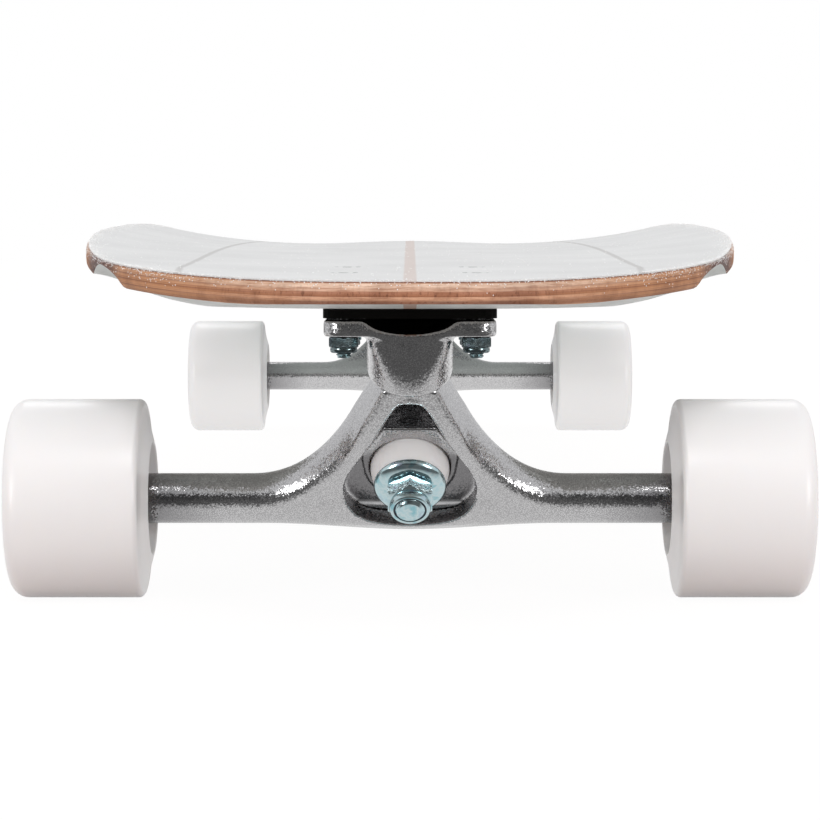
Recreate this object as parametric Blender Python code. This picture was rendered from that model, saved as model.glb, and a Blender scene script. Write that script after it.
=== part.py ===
"""Longboard skateboard: a laminated deck on two reverse-kingpin trucks, with four wheels.

Metres, +Z up. The board lies along Y with its front end at -Y, and the origin is on the ground
under the middle of the board. Left and right are those of a rider who looks to the front, so
left is +X.

Each truck has a frame of its own: X across, Y towards the end of the board that it is near, Z up,
with the middle of its axle at the origin. Inside it lies the steering frame: Y along the tilted
steering axis, up towards the pivot, Z along the kingpin, up towards its head, with the middle of
the hanger's bushing ring at the origin.
"""

import math

import bmesh
import bpy
from mathutils import Matrix, Vector

# The board as a whole
WHEEL_DIAMETER = 0.065
AXLE_SPACING = 0.740
CLEARANCE = 0.0003
OVERRUN = 0.002

# Deck: outline seen from above
DECK_LENGTH = 0.994
DECK_WIDTH = 0.246
WIDEST_TO = 0.150
TRUCK_NARROWING = 0.0225
END_NARROWING = 0.0225
END_BOW = 0.007

# Deck: thickness and bend
DECK_THICKNESS = 0.0106
DECK_EDGE_THICKNESS = 0.0062
DECK_END_THICKNESS = 0.0056
EDGE_BEVEL_SHARE = 0.26
PAD_BLEND = 0.050
CAMBER_DROP = 0.0082
CAMBER_HALF_WAVE = 0.520
CONCAVE_AT_ENDS = 0.0055
CONCAVE_GAIN_AT_MIDDLE = 0.0057
CONCAVE_POWER = 2.9
RIDGE_HEIGHT = 0.0032
RIDGE_HALF_WIDTH = 0.045
RIDGE_REACH = 0.308
GRIP_THICKNESS = 0.0008
WELL_HALF_LENGTH = 0.052
WELL_HALF_WIDTH = 0.046
WELL_OVERHANG = 0.017
WELL_ROOF = 0.0018

# Truck: stance
STEER_ANGLE = math.radians(50.0)
RING_OUTBOARD = 0.0100
RING_ABOVE_AXLE = 0.0159
TRUCK_HEIGHT = 0.0603

# Truck: baseplate, riser and their bolts
PLATE_THICKNESS = 0.0054
PLATE_WIDTH = 0.054
PLATE_OUTBOARD = 0.052
PLATE_INBOARD = 0.036
PLATE_CORNER = 0.006
RISER_THICKNESS = 0.0028
BOLT_ROW_SPACING = 0.0540
BOLT_SPACING = 0.0413
BOLT_ROW_OUTBOARD = 0.0430
BOLT_DIAMETER = 0.0048
BOLT_LENGTH = 0.0266
BOLT_HEAD_DIAMETER = 0.0094
BOLT_HEAD_DEPTH = 0.0026
DECK_NUT_ACROSS_FLATS = 0.0091
DECK_NUT_HEIGHT = 0.0050
PIVOT_HOUSING_DIAMETER = 0.0270
PIVOT_FACE = 0.0364
PIVOT_CUP_DIAMETER = 0.0160
PIVOT_CUP_DEPTH = 0.0110
PIVOT_CUP_FLOOR = 0.0020
PIVOT_CUP_LIP = 0.0011
PIVOT_CUP_FLANGE = 0.0020
PIVOT_CUP_FLARE = 0.0008
CASTING_CHAMFER = 0.0010
BOSS_DIAMETER = 0.0270
BOSS_BLOCK_WIDTH = 0.0220
BOSS_LENGTH = 0.0240
BLOCK_SETBACK = 0.0020
BLOCK_OUTBOARD = 0.0040
HEAD_POCKET_DIAMETER = 0.0182
SCALLOP_LENGTH = 0.0140
SCALLOP_DEPTH = 0.0044
SCALLOP_LIFT = 0.0003

# Truck: kingpin stack
KINGPIN_DIAMETER = 0.0095
KINGPIN_HEAD_ACROSS_FLATS = 0.0142
KINGPIN_HEAD_HEIGHT = 0.0060
KINGPIN_NUT_HEIGHT = 0.0086
KINGPIN_TIP = 0.0010
BUSHING_DIAMETER = 0.0254
ROADSIDE_BUSHING_HEIGHT = 0.0128
ROADSIDE_BUSHING_END = 0.0212
BOARDSIDE_BUSHING_HEIGHT = 0.0140
CUP_WASHER_DIAMETER = 0.0232
CUP_WASHER_THICKNESS = 0.0016
CUP_WASHER_RIM = 0.0012
CUP_WASHER_DOME = 0.0024
BUSHING_SHOULDER = 0.0010
BUSHING_EDGE = 0.0007

# Truck: hanger
HANGER_WIDTH = 0.180
TUBE_DIAMETER = 0.0164
BEAM_BULGE = 0.0020
ARM_DEPTH = 0.0143
ARM_BOARD_SIDE = 0.0058
ARM_CREST = 0.00575
ARM_FOOT = 0.052
ARM_SWEEP = 0.078
ARM_CURVE = 2.2
ARM_APEX = 0.0345
RING_DIAMETER = 0.0340
RING_THICKNESS = 0.0140
SEAT_DEPTH = 0.0045
RING_BORE_DIAMETER = 0.0136
WINDOW_TOP = 0.0263
WINDOW_BOTTOM = -0.0210
WINDOW_HALF_WIDTH = 0.0212
WINDOW_FLOOR_SLOPE = 0.055
WINDOW_UPPER_START = 0.003
WINDOW_UPPER_SLOPE = 0.26
OPENING_TOP = 0.0272
OPENING_HEAD = 0.0043
OPENING_FOOT = 0.0100
OPENING_CORNER = 0.0012
WALL_OVER_AXLE = 0.0014
NOSE_DIAMETER = 0.0122
NOSE_ROOT_DIAMETER = 0.0170
NOSE_WALL = 0.0008
NOSE_STEP = 0.0006

# Wheels, bearings and axle
AXLE_DIAMETER = 0.0080
TREAD_OUTBOARD = 0.0264
TREAD_INBOARD = 0.0168
HUB_RING_DIAMETER = 0.0370
HUB_RING_INBOARD = 0.0196
OUTER_LIP_RADIUS = 0.0054
INNER_LIP_RADIUS = 0.0036
OUTER_DISH_DIAMETER = 0.0450
OUTER_DISH_FALL = 0.0006
CORE_DIAMETER = 0.0340
CORE_END = 0.0003
BEARING_DIAMETER = 0.0220
BEARING_WIDTH = 0.0070
SPACER_LENGTH = 0.0094
CORE_LIP = 0.0012
SPEED_WASHER_THICKNESS = 0.0010
AXLE_NUT_ACROSS_FLATS = 0.0127
AXLE_NUT_HEIGHT = 0.0065
AXLE_STUB = 0.0017
AXLE_CHAMFER = 0.0006

# Facets
TYRE_SIDES = 32
CASTING_SIDES = 20
RING_SIDES = 16
BEARING_SIDES = 12
SMALL_SIDES = 8

# Places that follow from the sizes above
AXLE_HEIGHT = WHEEL_DIAMETER / 2 * math.cos(math.pi / TYRE_SIDES)
AXLE_Y = AXLE_SPACING / 2
PAD_HEIGHT = AXLE_HEIGHT + TRUCK_HEIGHT + RISER_THICKNESS + 2 * CLEARANCE
BEARING_FACE = HANGER_WIDTH / 2 + SPEED_WASHER_THICKNESS + 2 * CLEARANCE
WHEEL_CENTRE = BEARING_FACE + BEARING_WIDTH + CLEARANCE + SPACER_LENGTH / 2
BEARING_START = SPACER_LENGTH / 2 + CLEARANCE
BEARING_STOP = BEARING_START + BEARING_WIDTH
CORE_HALF = BEARING_STOP + CORE_END
AXLE_NUT_START = BEARING_STOP + SPEED_WASHER_THICKNESS + 2 * CLEARANCE

FINISHES = {}


def clear_scene():
    for obj in list(bpy.data.objects):
        bpy.data.objects.remove(obj)


def finish(name, colour, roughness, metallic=0.0):
    """The Principled material of one piece, made once."""
    if name not in FINISHES:
        material = bpy.data.materials.new(name)
        material.use_nodes = True
        shader = material.node_tree.nodes["Principled BSDF"]
        shader.inputs["Base Color"].default_value = (*colour, 1.0)
        shader.inputs["Roughness"].default_value = roughness
        shader.inputs["Metallic"].default_value = metallic
        FINISHES[name] = material
    return FINISHES[name]


def empty(name, parent=None, location=(0, 0, 0), rotation=(0, 0, 0)):
    obj = bpy.data.objects.new(name, None)
    bpy.context.scene.collection.objects.link(obj)
    obj.parent = parent
    obj.location = location
    obj.rotation_euler = rotation
    return obj


def piece(name, mesh, material, parent=None, location=(0, 0, 0), rotation=(0, 0, 0)):
    """One object, and so one node. Copies of a piece share their mesh and its material."""
    obj = bpy.data.objects.new(name, mesh)
    bpy.context.scene.collection.objects.link(obj)
    obj.parent = parent
    obj.location = location
    obj.rotation_euler = rotation
    if not mesh.materials:
        mesh.materials.append(material)
    mesh.shade_smooth()
    mesh.set_sharp_from_angle(angle=math.radians(32))
    return obj


def mesh_from(bm, name):
    """Closes a bmesh into a mesh: doubles merged, faces out."""
    bmesh.ops.remove_doubles(bm, verts=bm.verts, dist=1e-6)
    bmesh.ops.recalc_face_normals(bm, faces=bm.faces)
    mesh = bpy.data.meshes.new(name)
    bm.to_mesh(mesh)
    bm.free()
    return mesh


def turned(name, profile, sides, ring=True, phase=0.0):
    """A solid turned about Z from (radius, height) points: a ring, or a solid whose profile
    starts and ends on the axis. The phase is a share of one side."""
    bm = bmesh.new()
    turn = phase * 2 * math.pi / sides
    verts = [bm.verts.new((r * math.cos(turn), r * math.sin(turn), z)) for r, z in profile]
    edges = [bm.edges.new(pair) for pair in zip(verts, verts[1:])]
    if ring:
        edges.append(bm.edges.new((verts[-1], verts[0])))
    bmesh.ops.spin(
        bm, geom=verts + edges, cent=(0, 0, 0), axis=(0, 0, 1), angle=2 * math.pi, steps=sides
    )
    bmesh.ops.remove_doubles(bm, verts=bm.verts, dist=1e-6)
    bmesh.ops.dissolve_degenerate(bm, dist=1e-7, edges=bm.edges)
    wires = [edge for edge in bm.edges if not edge.link_faces]
    bmesh.ops.delete(bm, geom=wires, context="EDGES")
    return mesh_from(bm, name)


def lofted(name, rings, split=False):
    """A closed solid through rings that have as many points each, with flat ends. Faces that are
    split take their lower diagonal, so that two layers that lie together bend alike."""
    bm = bmesh.new()
    loops = [[bm.verts.new(point) for point in ring] for ring in rings]
    for near, far in zip(loops, loops[1:]):
        for i, a in enumerate(near):
            b, c, d = near[(i + 1) % len(near)], far[(i + 1) % len(near)], far[i]
            if not split:
                bm.faces.new((a, b, c, d))
            elif a.co.z + c.co.z < b.co.z + d.co.z:
                bm.faces.new((a, b, c))
                bm.faces.new((a, c, d))
            else:
                bm.faces.new((a, b, d))
                bm.faces.new((b, c, d))
    bm.faces.new(list(reversed(loops[0])))
    bm.faces.new(loops[-1])
    return mesh_from(bm, name)


def prism(name, outline, low, high):
    """An outline of (x, y) points raised from low to high."""
    return lofted(name, [[(x, y, z) for x, y in outline] for z in (low, high)])


def ball(name, segments, rings):
    """A sphere of radius 1, to be scaled where it is placed."""
    bm = bmesh.new()
    bmesh.ops.create_uvsphere(bm, u_segments=segments, v_segments=rings, radius=1.0)
    return mesh_from(bm, name)


def rounded_box_outline(x0, x1, y0, y1, corner, steps=4):
    """The corner points of a rectangle with round corners, anticlockwise."""
    points = []
    centres = ((x1, y1, 0), (x0, y1, 1), (x0, y0, 2), (x1, y0, 3))
    for x, y, quarter in centres:
        cx = x + (corner if x == x0 else -corner)
        cy = y + (corner if y == y0 else -corner)
        for step in range(steps + 1):
            angle = (quarter + step / steps) * math.pi / 2
            points.append((cx + corner * math.cos(angle), cy + corner * math.sin(angle)))
    return points


def grouped(name, mesh, places):
    """Copies of one mesh at several places, as separate bodies of one mesh."""
    bm = bmesh.new()
    for place in places:
        start = len(bm.verts)
        bm.from_mesh(mesh)
        bm.verts.ensure_lookup_table()
        bmesh.ops.transform(bm, matrix=place, verts=bm.verts[start:])
    return mesh_from(bm, name)


def carved(name, base, steps):
    """The base mesh after a row of exact Booleans, each an (operation, mesh, place)."""
    scene = bpy.context.scene
    body = bpy.data.objects.new(name, base)
    scene.collection.objects.link(body)
    tools = []
    for operation, mesh, place in steps:
        tool = bpy.data.objects.new("cutter", mesh)
        tool.matrix_world = place
        tool.display_type = "WIRE"
        tool.hide_render = True
        scene.collection.objects.link(tool)
        modifier = body.modifiers.new("cut", "BOOLEAN")
        modifier.operation = operation
        modifier.solver = "EXACT"
        modifier.object = tool
        tools.append(tool)
    bpy.context.view_layer.update()
    graph = bpy.context.evaluated_depsgraph_get()
    result = bpy.data.meshes.new_from_object(body.evaluated_get(graph))
    for helper in [body, *tools]:
        bpy.data.objects.remove(helper)
    bm = bmesh.new()
    bm.from_mesh(result)
    bmesh.ops.remove_doubles(bm, verts=bm.verts, dist=2e-6)
    bmesh.ops.dissolve_degenerate(bm, dist=2e-6, edges=bm.edges)
    carved_mesh = mesh_from(bm, name)
    carved_mesh.materials.clear()
    return carved_mesh


def hole(radius, sides=SMALL_SIDES):
    """The radius to give a round hole of flat sides, so that its flats clear the radius."""
    return (radius + CLEARANCE) / math.cos(math.pi / sides)


def smooth_step(share):
    share = min(max(share, 0.0), 1.0)
    return share * share * (3 - 2 * share)


def smooth_loop(points, steps):
    """A closed smooth curve through the points (Catmull-Rom), with so many steps each."""
    curve = []
    count = len(points)
    for i in range(count):
        p0, p1, p2, p3 = (Vector(points[(i + k) % count]) for k in (-1, 0, 1, 2))
        for step in range(steps):
            t = step / steps
            curve.append(
                0.5
                * (
                    2 * p1
                    + (p2 - p0) * t
                    + (2 * p0 - 5 * p1 + 4 * p2 - p3) * t * t
                    + (3 * p1 - p0 - 3 * p2 + p3) * t * t * t
                )
            )
    return curve


# Deck and grip: functions of a place (x, y) on the board

CROSS_SHARES = (0.0, 0.26, 0.50, 0.74, 1.0)
DECK_ROWS = 18


def half_width(y):
    """Half the deck's width: widest along the middle, drawn in over the trucks and at the ends."""
    past_middle = max(abs(y) - WIDEST_TO, 0.0)
    truck_share = past_middle / (AXLE_Y - WIDEST_TO)
    end_share = max(abs(y) - AXLE_Y, 0.0) / (DECK_LENGTH / 2 - AXLE_Y)
    drawn_in = TRUCK_NARROWING * truck_share**2 + END_NARROWING * end_share**1.6
    return DECK_WIDTH / 2 - drawn_in


def camber(y):
    return CAMBER_DROP * (1 - math.cos(math.pi * abs(y) / CAMBER_HALF_WAVE)) / 2


def crown(y):
    """Height of the deck's top on its middle line."""
    return PAD_HEIGHT + DECK_THICKNESS + camber(AXLE_Y) - camber(y)


def rise(x, y):
    """How far the top rises above the crown at the side, less the dip beside the middle ridge."""
    gain = CONCAVE_GAIN_AT_MIDDLE * (1 + math.cos(math.pi * min(abs(y) / AXLE_Y, 1.0))) / 2
    concave = (CONCAVE_AT_ENDS + gain) * (2 * abs(x) / DECK_WIDTH) ** CONCAVE_POWER
    ridge = RIDGE_HEIGHT * (1 + math.cos(math.pi * min(abs(y) / RIDGE_REACH, 1.0))) / 2
    dip = ridge * (1 - math.exp(-((x / RIDGE_HALF_WIDTH) ** 2)))
    return concave - dip


def deck_top(x, y):
    return crown(y) + rise(x, y)


def thickness(x, y):
    """Full thickness at the middle, flat pads at the trucks, thin edges and ends."""
    a = abs(y)
    pad_start = AXLE_Y - PLATE_INBOARD - PLATE_CORNER
    pad_stop = AXLE_Y + PLATE_OUTBOARD + PLATE_CORNER / 2
    over_pad = crown(y) - PAD_HEIGHT
    if a < pad_start:
        blend = smooth_step((a - pad_start + PAD_BLEND) / PAD_BLEND)
        full = DECK_THICKNESS + (crown(pad_start) - PAD_HEIGHT - DECK_THICKNESS) * blend
        if a >= pad_start - PAD_BLEND:
            full = blend * over_pad + (1 - blend) * DECK_THICKNESS
    elif a <= pad_stop:
        full = over_pad
    else:
        share = (a - pad_stop) / (DECK_LENGTH / 2 - pad_stop)
        at_stop = crown(pad_stop) - PAD_HEIGHT
        full = at_stop + (DECK_END_THICKNESS - at_stop) * share
    edge = min(DECK_EDGE_THICKNESS, full)
    across = abs(x) / half_width(y)
    return full - (full - edge) * smooth_step((across - 1 + EDGE_BEVEL_SHARE) / EDGE_BEVEL_SHARE)


def deck_stations():
    """Places along the board, closer together towards its ends."""
    stations = []
    for row in range(DECK_ROWS + 1):
        share = 2 * row / DECK_ROWS - 1
        stations.append(math.sin(share * math.pi / 2) * DECK_LENGTH / 2)
    return stations


def deck_point(across, y, inset=0.0):
    """The (x, y) of a share across the board, with the ends bowed like the real outline."""
    x = across * (half_width(y) - inset)
    bow = END_BOW * across**2 * smooth_step((abs(y) / (DECK_LENGTH / 2) - 0.80) / 0.20)
    return x, y - math.copysign(bow, y)


def deck_meshes():
    """The laminated deck and the grip layer on it, before their holes."""
    shares = [-share for share in CROSS_SHARES[:0:-1]] + list(CROSS_SHARES)
    core_rings = []
    grip_rings = []
    for y in deck_stations():
        top, bottom, grip_low, grip_high = [], [], [], []
        for share in shares:
            px, py = deck_point(share, y)
            height = deck_top(px, y)
            top.append((px, py, height))
            bottom.append((px, py, height - thickness(px, y)))
            gx, gy = deck_point(share, y, CLEARANCE)
            grip_low.append((gx, gy, height + CLEARANCE))
            grip_high.append((gx, gy, height + CLEARANCE + GRIP_THICKNESS))
        left = [sum(pair) / 2 for pair in zip(top[0], bottom[0])]
        right = [sum(pair) / 2 for pair in zip(top[-1], bottom[-1])]
        left[0] -= DECK_EDGE_THICKNESS / 6
        right[0] += DECK_EDGE_THICKNESS / 6
        core_rings.append([*top, right, *reversed(bottom), left])
        grip_rings.append([*grip_high, *reversed(grip_low)])
    return lofted("deck", core_rings, split=True), lofted("grip", grip_rings, split=True)


# Fasteners


def lock_nut(name, across_flats, height, bore_diameter):
    """A hexagon with chamfered corners under a smaller collar, with a plain bore."""
    corner = across_flats / math.sqrt(3)
    collar = across_flats * 0.47
    bore = hole(bore_diameter / 2, 6)
    profile = [
        (bore, 0),
        (corner, 0),
        (corner, height * 0.60),
        (corner * 0.88, height * 0.70),
        (collar, height * 0.70),
        (collar, height),
        (bore, height),
    ]
    return turned(name, profile, 6, phase=0.5)


def deck_bolt():
    """A countersunk bolt that hangs from the middle of its head's top face."""
    radius = BOLT_DIAMETER / 2
    head = BOLT_HEAD_DIAMETER / 2
    profile = [
        (0, -BOLT_LENGTH),
        (radius, -BOLT_LENGTH),
        (radius, -BOLT_HEAD_DEPTH),
        (head, -BOLT_HEAD_DEPTH * 0.12),
        (head, 0),
        (0, 0),
    ]
    return turned("deck_bolt", profile, SMALL_SIDES, ring=False)


def bolt_hole(depth, countersunk):
    """What a deck bolt needs cut away, hung from the same point as the bolt."""
    radius = hole(BOLT_DIAMETER / 2)
    head = hole(BOLT_HEAD_DIAMETER / 2)
    above = BOLT_HEAD_DIAMETER
    profile = [(0, -depth), (radius, -depth)]
    if countersunk:
        profile += [
            (radius, -BOLT_HEAD_DEPTH - CLEARANCE),
            (head, -BOLT_HEAD_DEPTH * 0.12 - CLEARANCE),
            (head, above),
        ]
    else:
        profile += [(radius, above)]
    profile += [(0, above)]
    return turned("bolt_hole", profile, SMALL_SIDES, ring=False)


def bolt_places():
    """(x, y) of the four deck bolts in a truck's frame, the row nearer the board's end first."""
    rows = (BOLT_ROW_OUTBOARD, BOLT_ROW_OUTBOARD - BOLT_ROW_SPACING)
    return [(side * BOLT_SPACING / 2, row) for row in rows for side in (1, -1)]


def bolt_top(x, row):
    """Height of the grip over a deck bolt, above the truck's axle."""
    return deck_top(x, AXLE_Y + row) + CLEARANCE + GRIP_THICKNESS - AXLE_HEIGHT


# Truck: frames and heights along the kingpin, in the steering frame

STEER_PLACE = Matrix.Translation((0, RING_OUTBOARD, RING_ABOVE_AXLE)) @ Matrix.Rotation(
    STEER_ANGLE, 4, "X"
)
AXLE_IN_STEER = STEER_PLACE.inverted() @ Vector((0, 0, 0))
ALONG_Y = Matrix.Rotation(math.radians(-90), 4, "X")
ALONG_X = Matrix.Rotation(math.radians(90), 4, "Y")

SEAT = RING_THICKNESS / 2 - SEAT_DEPTH
ROAD_BUSHING_LOW = -SEAT - CLEARANCE - ROADSIDE_BUSHING_HEIGHT
ROAD_WASHER_HIGH = ROAD_BUSHING_LOW - CLEARANCE
KINGPIN_NUT_START = ROAD_WASHER_HIGH - CUP_WASHER_THICKNESS - CLEARANCE
KINGPIN_END = KINGPIN_NUT_START - KINGPIN_NUT_HEIGHT - KINGPIN_TIP
BOARD_BUSHING_LOW = SEAT + CLEARANCE
BOARD_WASHER_LOW = BOARD_BUSHING_LOW + BOARDSIDE_BUSHING_HEIGHT + CLEARANCE
BOSS_FACE = BOARD_WASHER_LOW + CUP_WASHER_THICKNESS + CLEARANCE
HEAD_SEAT = BOSS_FACE + BOSS_LENGTH


def baseplate():
    """The cast baseplate, in the truck's frame: flange, pivot housing, kingpin boss, front scallop,
    all trimmed to the flange's outline, then bored for the cup, the kingpin and the deck bolts."""
    top = TRUCK_HEIGHT
    flange = prism(
        "flange",
        [
            (x * (PLATE_WIDTH / 2 + OVERRUN), y)
            for x, y in (
                (1, PLATE_OUTBOARD + OVERRUN),
                (-1, PLATE_OUTBOARD + OVERRUN),
                (-1, -PLATE_INBOARD - OVERRUN),
                (1, -PLATE_INBOARD - OVERRUN),
            )
        ],
        top - PLATE_THICKNESS,
        top + OVERRUN,
    )
    reach = 2 * TRUCK_HEIGHT
    housing_radius = PIVOT_HOUSING_DIAMETER / 2
    housing = turned(
        "housing",
        [
            (0, PIVOT_FACE),
            (housing_radius - CASTING_CHAMFER, PIVOT_FACE),
            (housing_radius, PIVOT_FACE + CASTING_CHAMFER),
            (housing_radius, reach),
            (0, reach),
        ],
        CASTING_SIDES,
        ring=False,
    )
    boss_radius = BOSS_DIAMETER / 2
    boss = turned(
        "boss",
        [
            (0, BOSS_FACE),
            (boss_radius - CASTING_CHAMFER, BOSS_FACE),
            (boss_radius, BOSS_FACE + CASTING_CHAMFER),
            (boss_radius, HEAD_SEAT + KINGPIN_HEAD_HEIGHT * 0.7),
            (0, HEAD_SEAT + KINGPIN_HEAD_HEIGHT * 0.7),
        ],
        RING_SIDES,
        ring=False,
    )
    low_corner = STEER_PLACE @ Vector((0, -boss_radius * 0.92, BOSS_FACE + BLOCK_SETBACK))
    high_corner = STEER_PLACE @ Vector((0, boss_radius * 0.92, BOSS_FACE + BLOCK_SETBACK))
    back = -PLATE_INBOARD - 2 * OVERRUN
    back_height = low_corner.z + (low_corner.y - back) / math.tan(STEER_ANGLE)
    side_view = [
        (high_corner.y, high_corner.z),
        (low_corner.y, low_corner.z),
        (back, back_height),
        (back, top - PLATE_THICKNESS / 2),
        (high_corner.y + BLOCK_OUTBOARD, top - PLATE_THICKNESS / 2),
    ]
    half = BOSS_BLOCK_WIDTH / 2
    block = lofted("block", [[(x, y, z) for y, z in side_view] for x in (-half, half)])
    envelope = prism(
        "envelope",
        rounded_box_outline(
            -PLATE_WIDTH / 2, PLATE_WIDTH / 2, -PLATE_INBOARD, PLATE_OUTBOARD, PLATE_CORNER
        ),
        0.0,
        top,
    )
    cup_radius = hole(PIVOT_CUP_DIAMETER / 2, RING_SIDES)
    cup_end = PIVOT_FACE - CLEARANCE + PIVOT_CUP_DEPTH + CLEARANCE
    cup_bore = turned(
        "cup_bore", [(0, 0), (cup_radius, 0), (cup_radius, cup_end), (0, cup_end)], RING_SIDES, False
    )
    pin_radius = hole(KINGPIN_DIAMETER / 2)
    pin_bore = turned(
        "pin_bore",
        [(0, 0), (pin_radius, 0), (pin_radius, HEAD_SEAT + OVERRUN), (0, HEAD_SEAT + OVERRUN)],
        SMALL_SIDES,
        ring=False,
    )
    pocket_radius = HEAD_POCKET_DIAMETER / 2
    head_pocket = turned(
        "head_pocket",
        [(0, HEAD_SEAT), (pocket_radius, HEAD_SEAT), (pocket_radius, reach), (0, reach)],
        RING_SIDES,
        ring=False,
    )
    scallop_size = Vector((housing_radius, SCALLOP_LENGTH, SCALLOP_DEPTH + SCALLOP_LIFT))
    scallop_middle = Vector((0, PLATE_OUTBOARD + SCALLOP_LIFT, top + SCALLOP_LIFT))
    scallop_place = Matrix.LocRotScale(scallop_middle, None, scallop_size)
    holes = grouped(
        "plate_holes",
        bolt_hole(2 * PLATE_THICKNESS, countersunk=False),
        [Matrix.Translation((x, y, top)) for x, y in bolt_places()],
    )
    here = Matrix.Identity(4)
    pivot_place = STEER_PLACE @ ALONG_Y
    return carved(
        "baseplate",
        flange,
        [
            ("UNION", housing, pivot_place),
            ("UNION", boss, STEER_PLACE),
            ("UNION", block, here),
            ("INTERSECT", envelope, here),
            ("DIFFERENCE", cup_bore, pivot_place),
            ("DIFFERENCE", pin_bore, STEER_PLACE),
            ("DIFFERENCE", head_pocket, STEER_PLACE),
            ("DIFFERENCE", ball("scallop", 16, 8), scallop_place),
            ("DIFFERENCE", holes, here),
        ],
    )


def riser():
    """The pad between the baseplate and the deck, in the truck's frame."""
    low = TRUCK_HEIGHT + CLEARANCE
    pad = prism(
        "riser",
        rounded_box_outline(
            -PLATE_WIDTH / 2, PLATE_WIDTH / 2, -PLATE_INBOARD, PLATE_OUTBOARD, PLATE_CORNER
        ),
        low,
        low + RISER_THICKNESS,
    )
    holes = grouped(
        "riser_holes",
        bolt_hole(3 * RISER_THICKNESS, countersunk=False),
        [Matrix.Translation((x, y, low + RISER_THICKNESS)) for x, y in bolt_places()],
    )
    return carved("riser", pad, [("DIFFERENCE", holes, Matrix.Identity(4))])


def kingpin():
    """A hex-headed bolt down through the boss, the bushings and the hanger's ring."""
    radius = KINGPIN_DIAMETER / 2
    shank = turned(
        "shank",
        [
            (0, KINGPIN_END),
            (radius * 0.84, KINGPIN_END),
            (radius, KINGPIN_END + radius * 0.2),
            (radius, HEAD_SEAT + KINGPIN_HEAD_HEIGHT * 0.5),
            (0, HEAD_SEAT + KINGPIN_HEAD_HEIGHT * 0.5),
        ],
        SMALL_SIDES,
        ring=False,
    )
    corner = KINGPIN_HEAD_ACROSS_FLATS / math.sqrt(3)
    low = HEAD_SEAT + CLEARANCE
    head = turned(
        "head",
        [
            (0, low),
            (corner, low),
            (corner, low + KINGPIN_HEAD_HEIGHT * 0.85),
            (corner * 0.9, low + KINGPIN_HEAD_HEIGHT),
            (0, low + KINGPIN_HEAD_HEIGHT),
        ],
        6,
        ring=False,
    )
    return carved("kingpin", shank, [("UNION", head, Matrix.Identity(4))])


def cup_washer():
    """A dished washer, its flat face at height 0 and its rim bent up round the bushing."""
    outer = CUP_WASHER_DIAMETER / 2
    bore = hole(KINGPIN_DIAMETER / 2)
    high = CUP_WASHER_THICKNESS
    end = ROADSIDE_BUSHING_END / 2 + CLEARANCE
    profile = [
        (bore, 0),
        (outer - CUP_WASHER_DOME, 0),
        (outer, high * 0.7),
        (outer, high + CUP_WASHER_RIM),
        (end, high + CUP_WASHER_RIM),
        (end, high),
        (bore, high),
    ]
    return turned("cup_washer", profile, RING_SIDES)


def bushing(name, height, waist, end_diameter):
    """A urethane bushing from its seat at height 0: straight in the seat, then a cone or barrel."""
    radius = BUSHING_DIAMETER / 2
    bore = hole(KINGPIN_DIAMETER / 2)
    seat_height = SEAT_DEPTH + BUSHING_SHOULDER
    end = end_diameter / 2
    profile = [
        (bore, 0),
        (radius, 0),
        (radius, seat_height),
        (radius + (end - radius) * waist, (seat_height + height) / 2),
        (end, height - BUSHING_EDGE),
        (end - BUSHING_EDGE, height),
        (bore, height),
    ]
    return turned(name, profile, RING_SIDES)


def pivot_cup():
    """A urethane cup in the pivot housing, turned about the steering axis."""
    outer = PIVOT_CUP_DIAMETER / 2
    inner = NOSE_DIAMETER / 2 + CLEARANCE * 1.3
    face = PIVOT_FACE - CLEARANCE
    floor = face + PIVOT_CUP_DEPTH - PIVOT_CUP_FLOOR
    profile = [
        (inner + PIVOT_CUP_FLARE, face - PIVOT_CUP_LIP),
        (outer + PIVOT_CUP_FLANGE, face - PIVOT_CUP_LIP),
        (outer + PIVOT_CUP_FLANGE, face),
        (outer, face),
        (outer, face + PIVOT_CUP_DEPTH),
        (0, face + PIVOT_CUP_DEPTH),
        (0, floor),
        (inner * 0.75, floor),
        (inner, floor - inner * 0.35),
    ]
    return turned("pivot_cup", profile, RING_SIDES)


def arm_reach(x):
    """How far the hanger's upper outline stands from the axle, along the arms."""
    share = max(1 - abs(x) / ARM_FOOT, 0.0)
    return ARM_SWEEP * share**ARM_CURVE


def hanger_section(x, tube_radius):
    """One cross-section of the hanger's casting: a round beam below, an arm's flat end above."""
    axle = Vector((AXLE_IN_STEER.y, AXLE_IN_STEER.z))
    arm_half = ARM_DEPTH / 2
    apex = Vector((ARM_APEX - ARM_CREST, ARM_BOARD_SIDE - arm_half))
    up = (apex - axle).normalized()
    back = Vector((-up.y, up.x))
    reach = min(arm_reach(x), (apex - axle).length)
    share = min(reach / (0.4 * ARM_SWEEP), 1.0)
    radius = tube_radius + BEAM_BULGE * smooth_step(1 - abs(x) / (0.9 * ARM_FOOT))
    half = tube_radius + (arm_half - tube_radius) * share
    crest = tube_radius + (ARM_CREST - tube_radius) * share
    power = 2 / (2 + 1.4 * share)
    top = axle + up * reach
    points = []
    upper_steps, lower_steps = 8, 6
    for step in range(upper_steps + 1):
        angle = math.pi * step / upper_steps
        across = math.copysign(abs(math.cos(angle)) ** power, math.cos(angle))
        height = abs(math.sin(angle)) ** power
        points.append(top + back * half * across + up * crest * height)
    for step in range(1, lower_steps):
        angle = math.pi * (1 + step / lower_steps)
        points.append(axle + back * radius * math.cos(angle) + up * radius * math.sin(angle))
    return [(x, point.x, point.y) for point in points]


ARM_STATIONS = (0.0, 0.08, 0.16, 0.24, 0.33, 0.44, 0.58, 0.76, 1.0)


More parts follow.
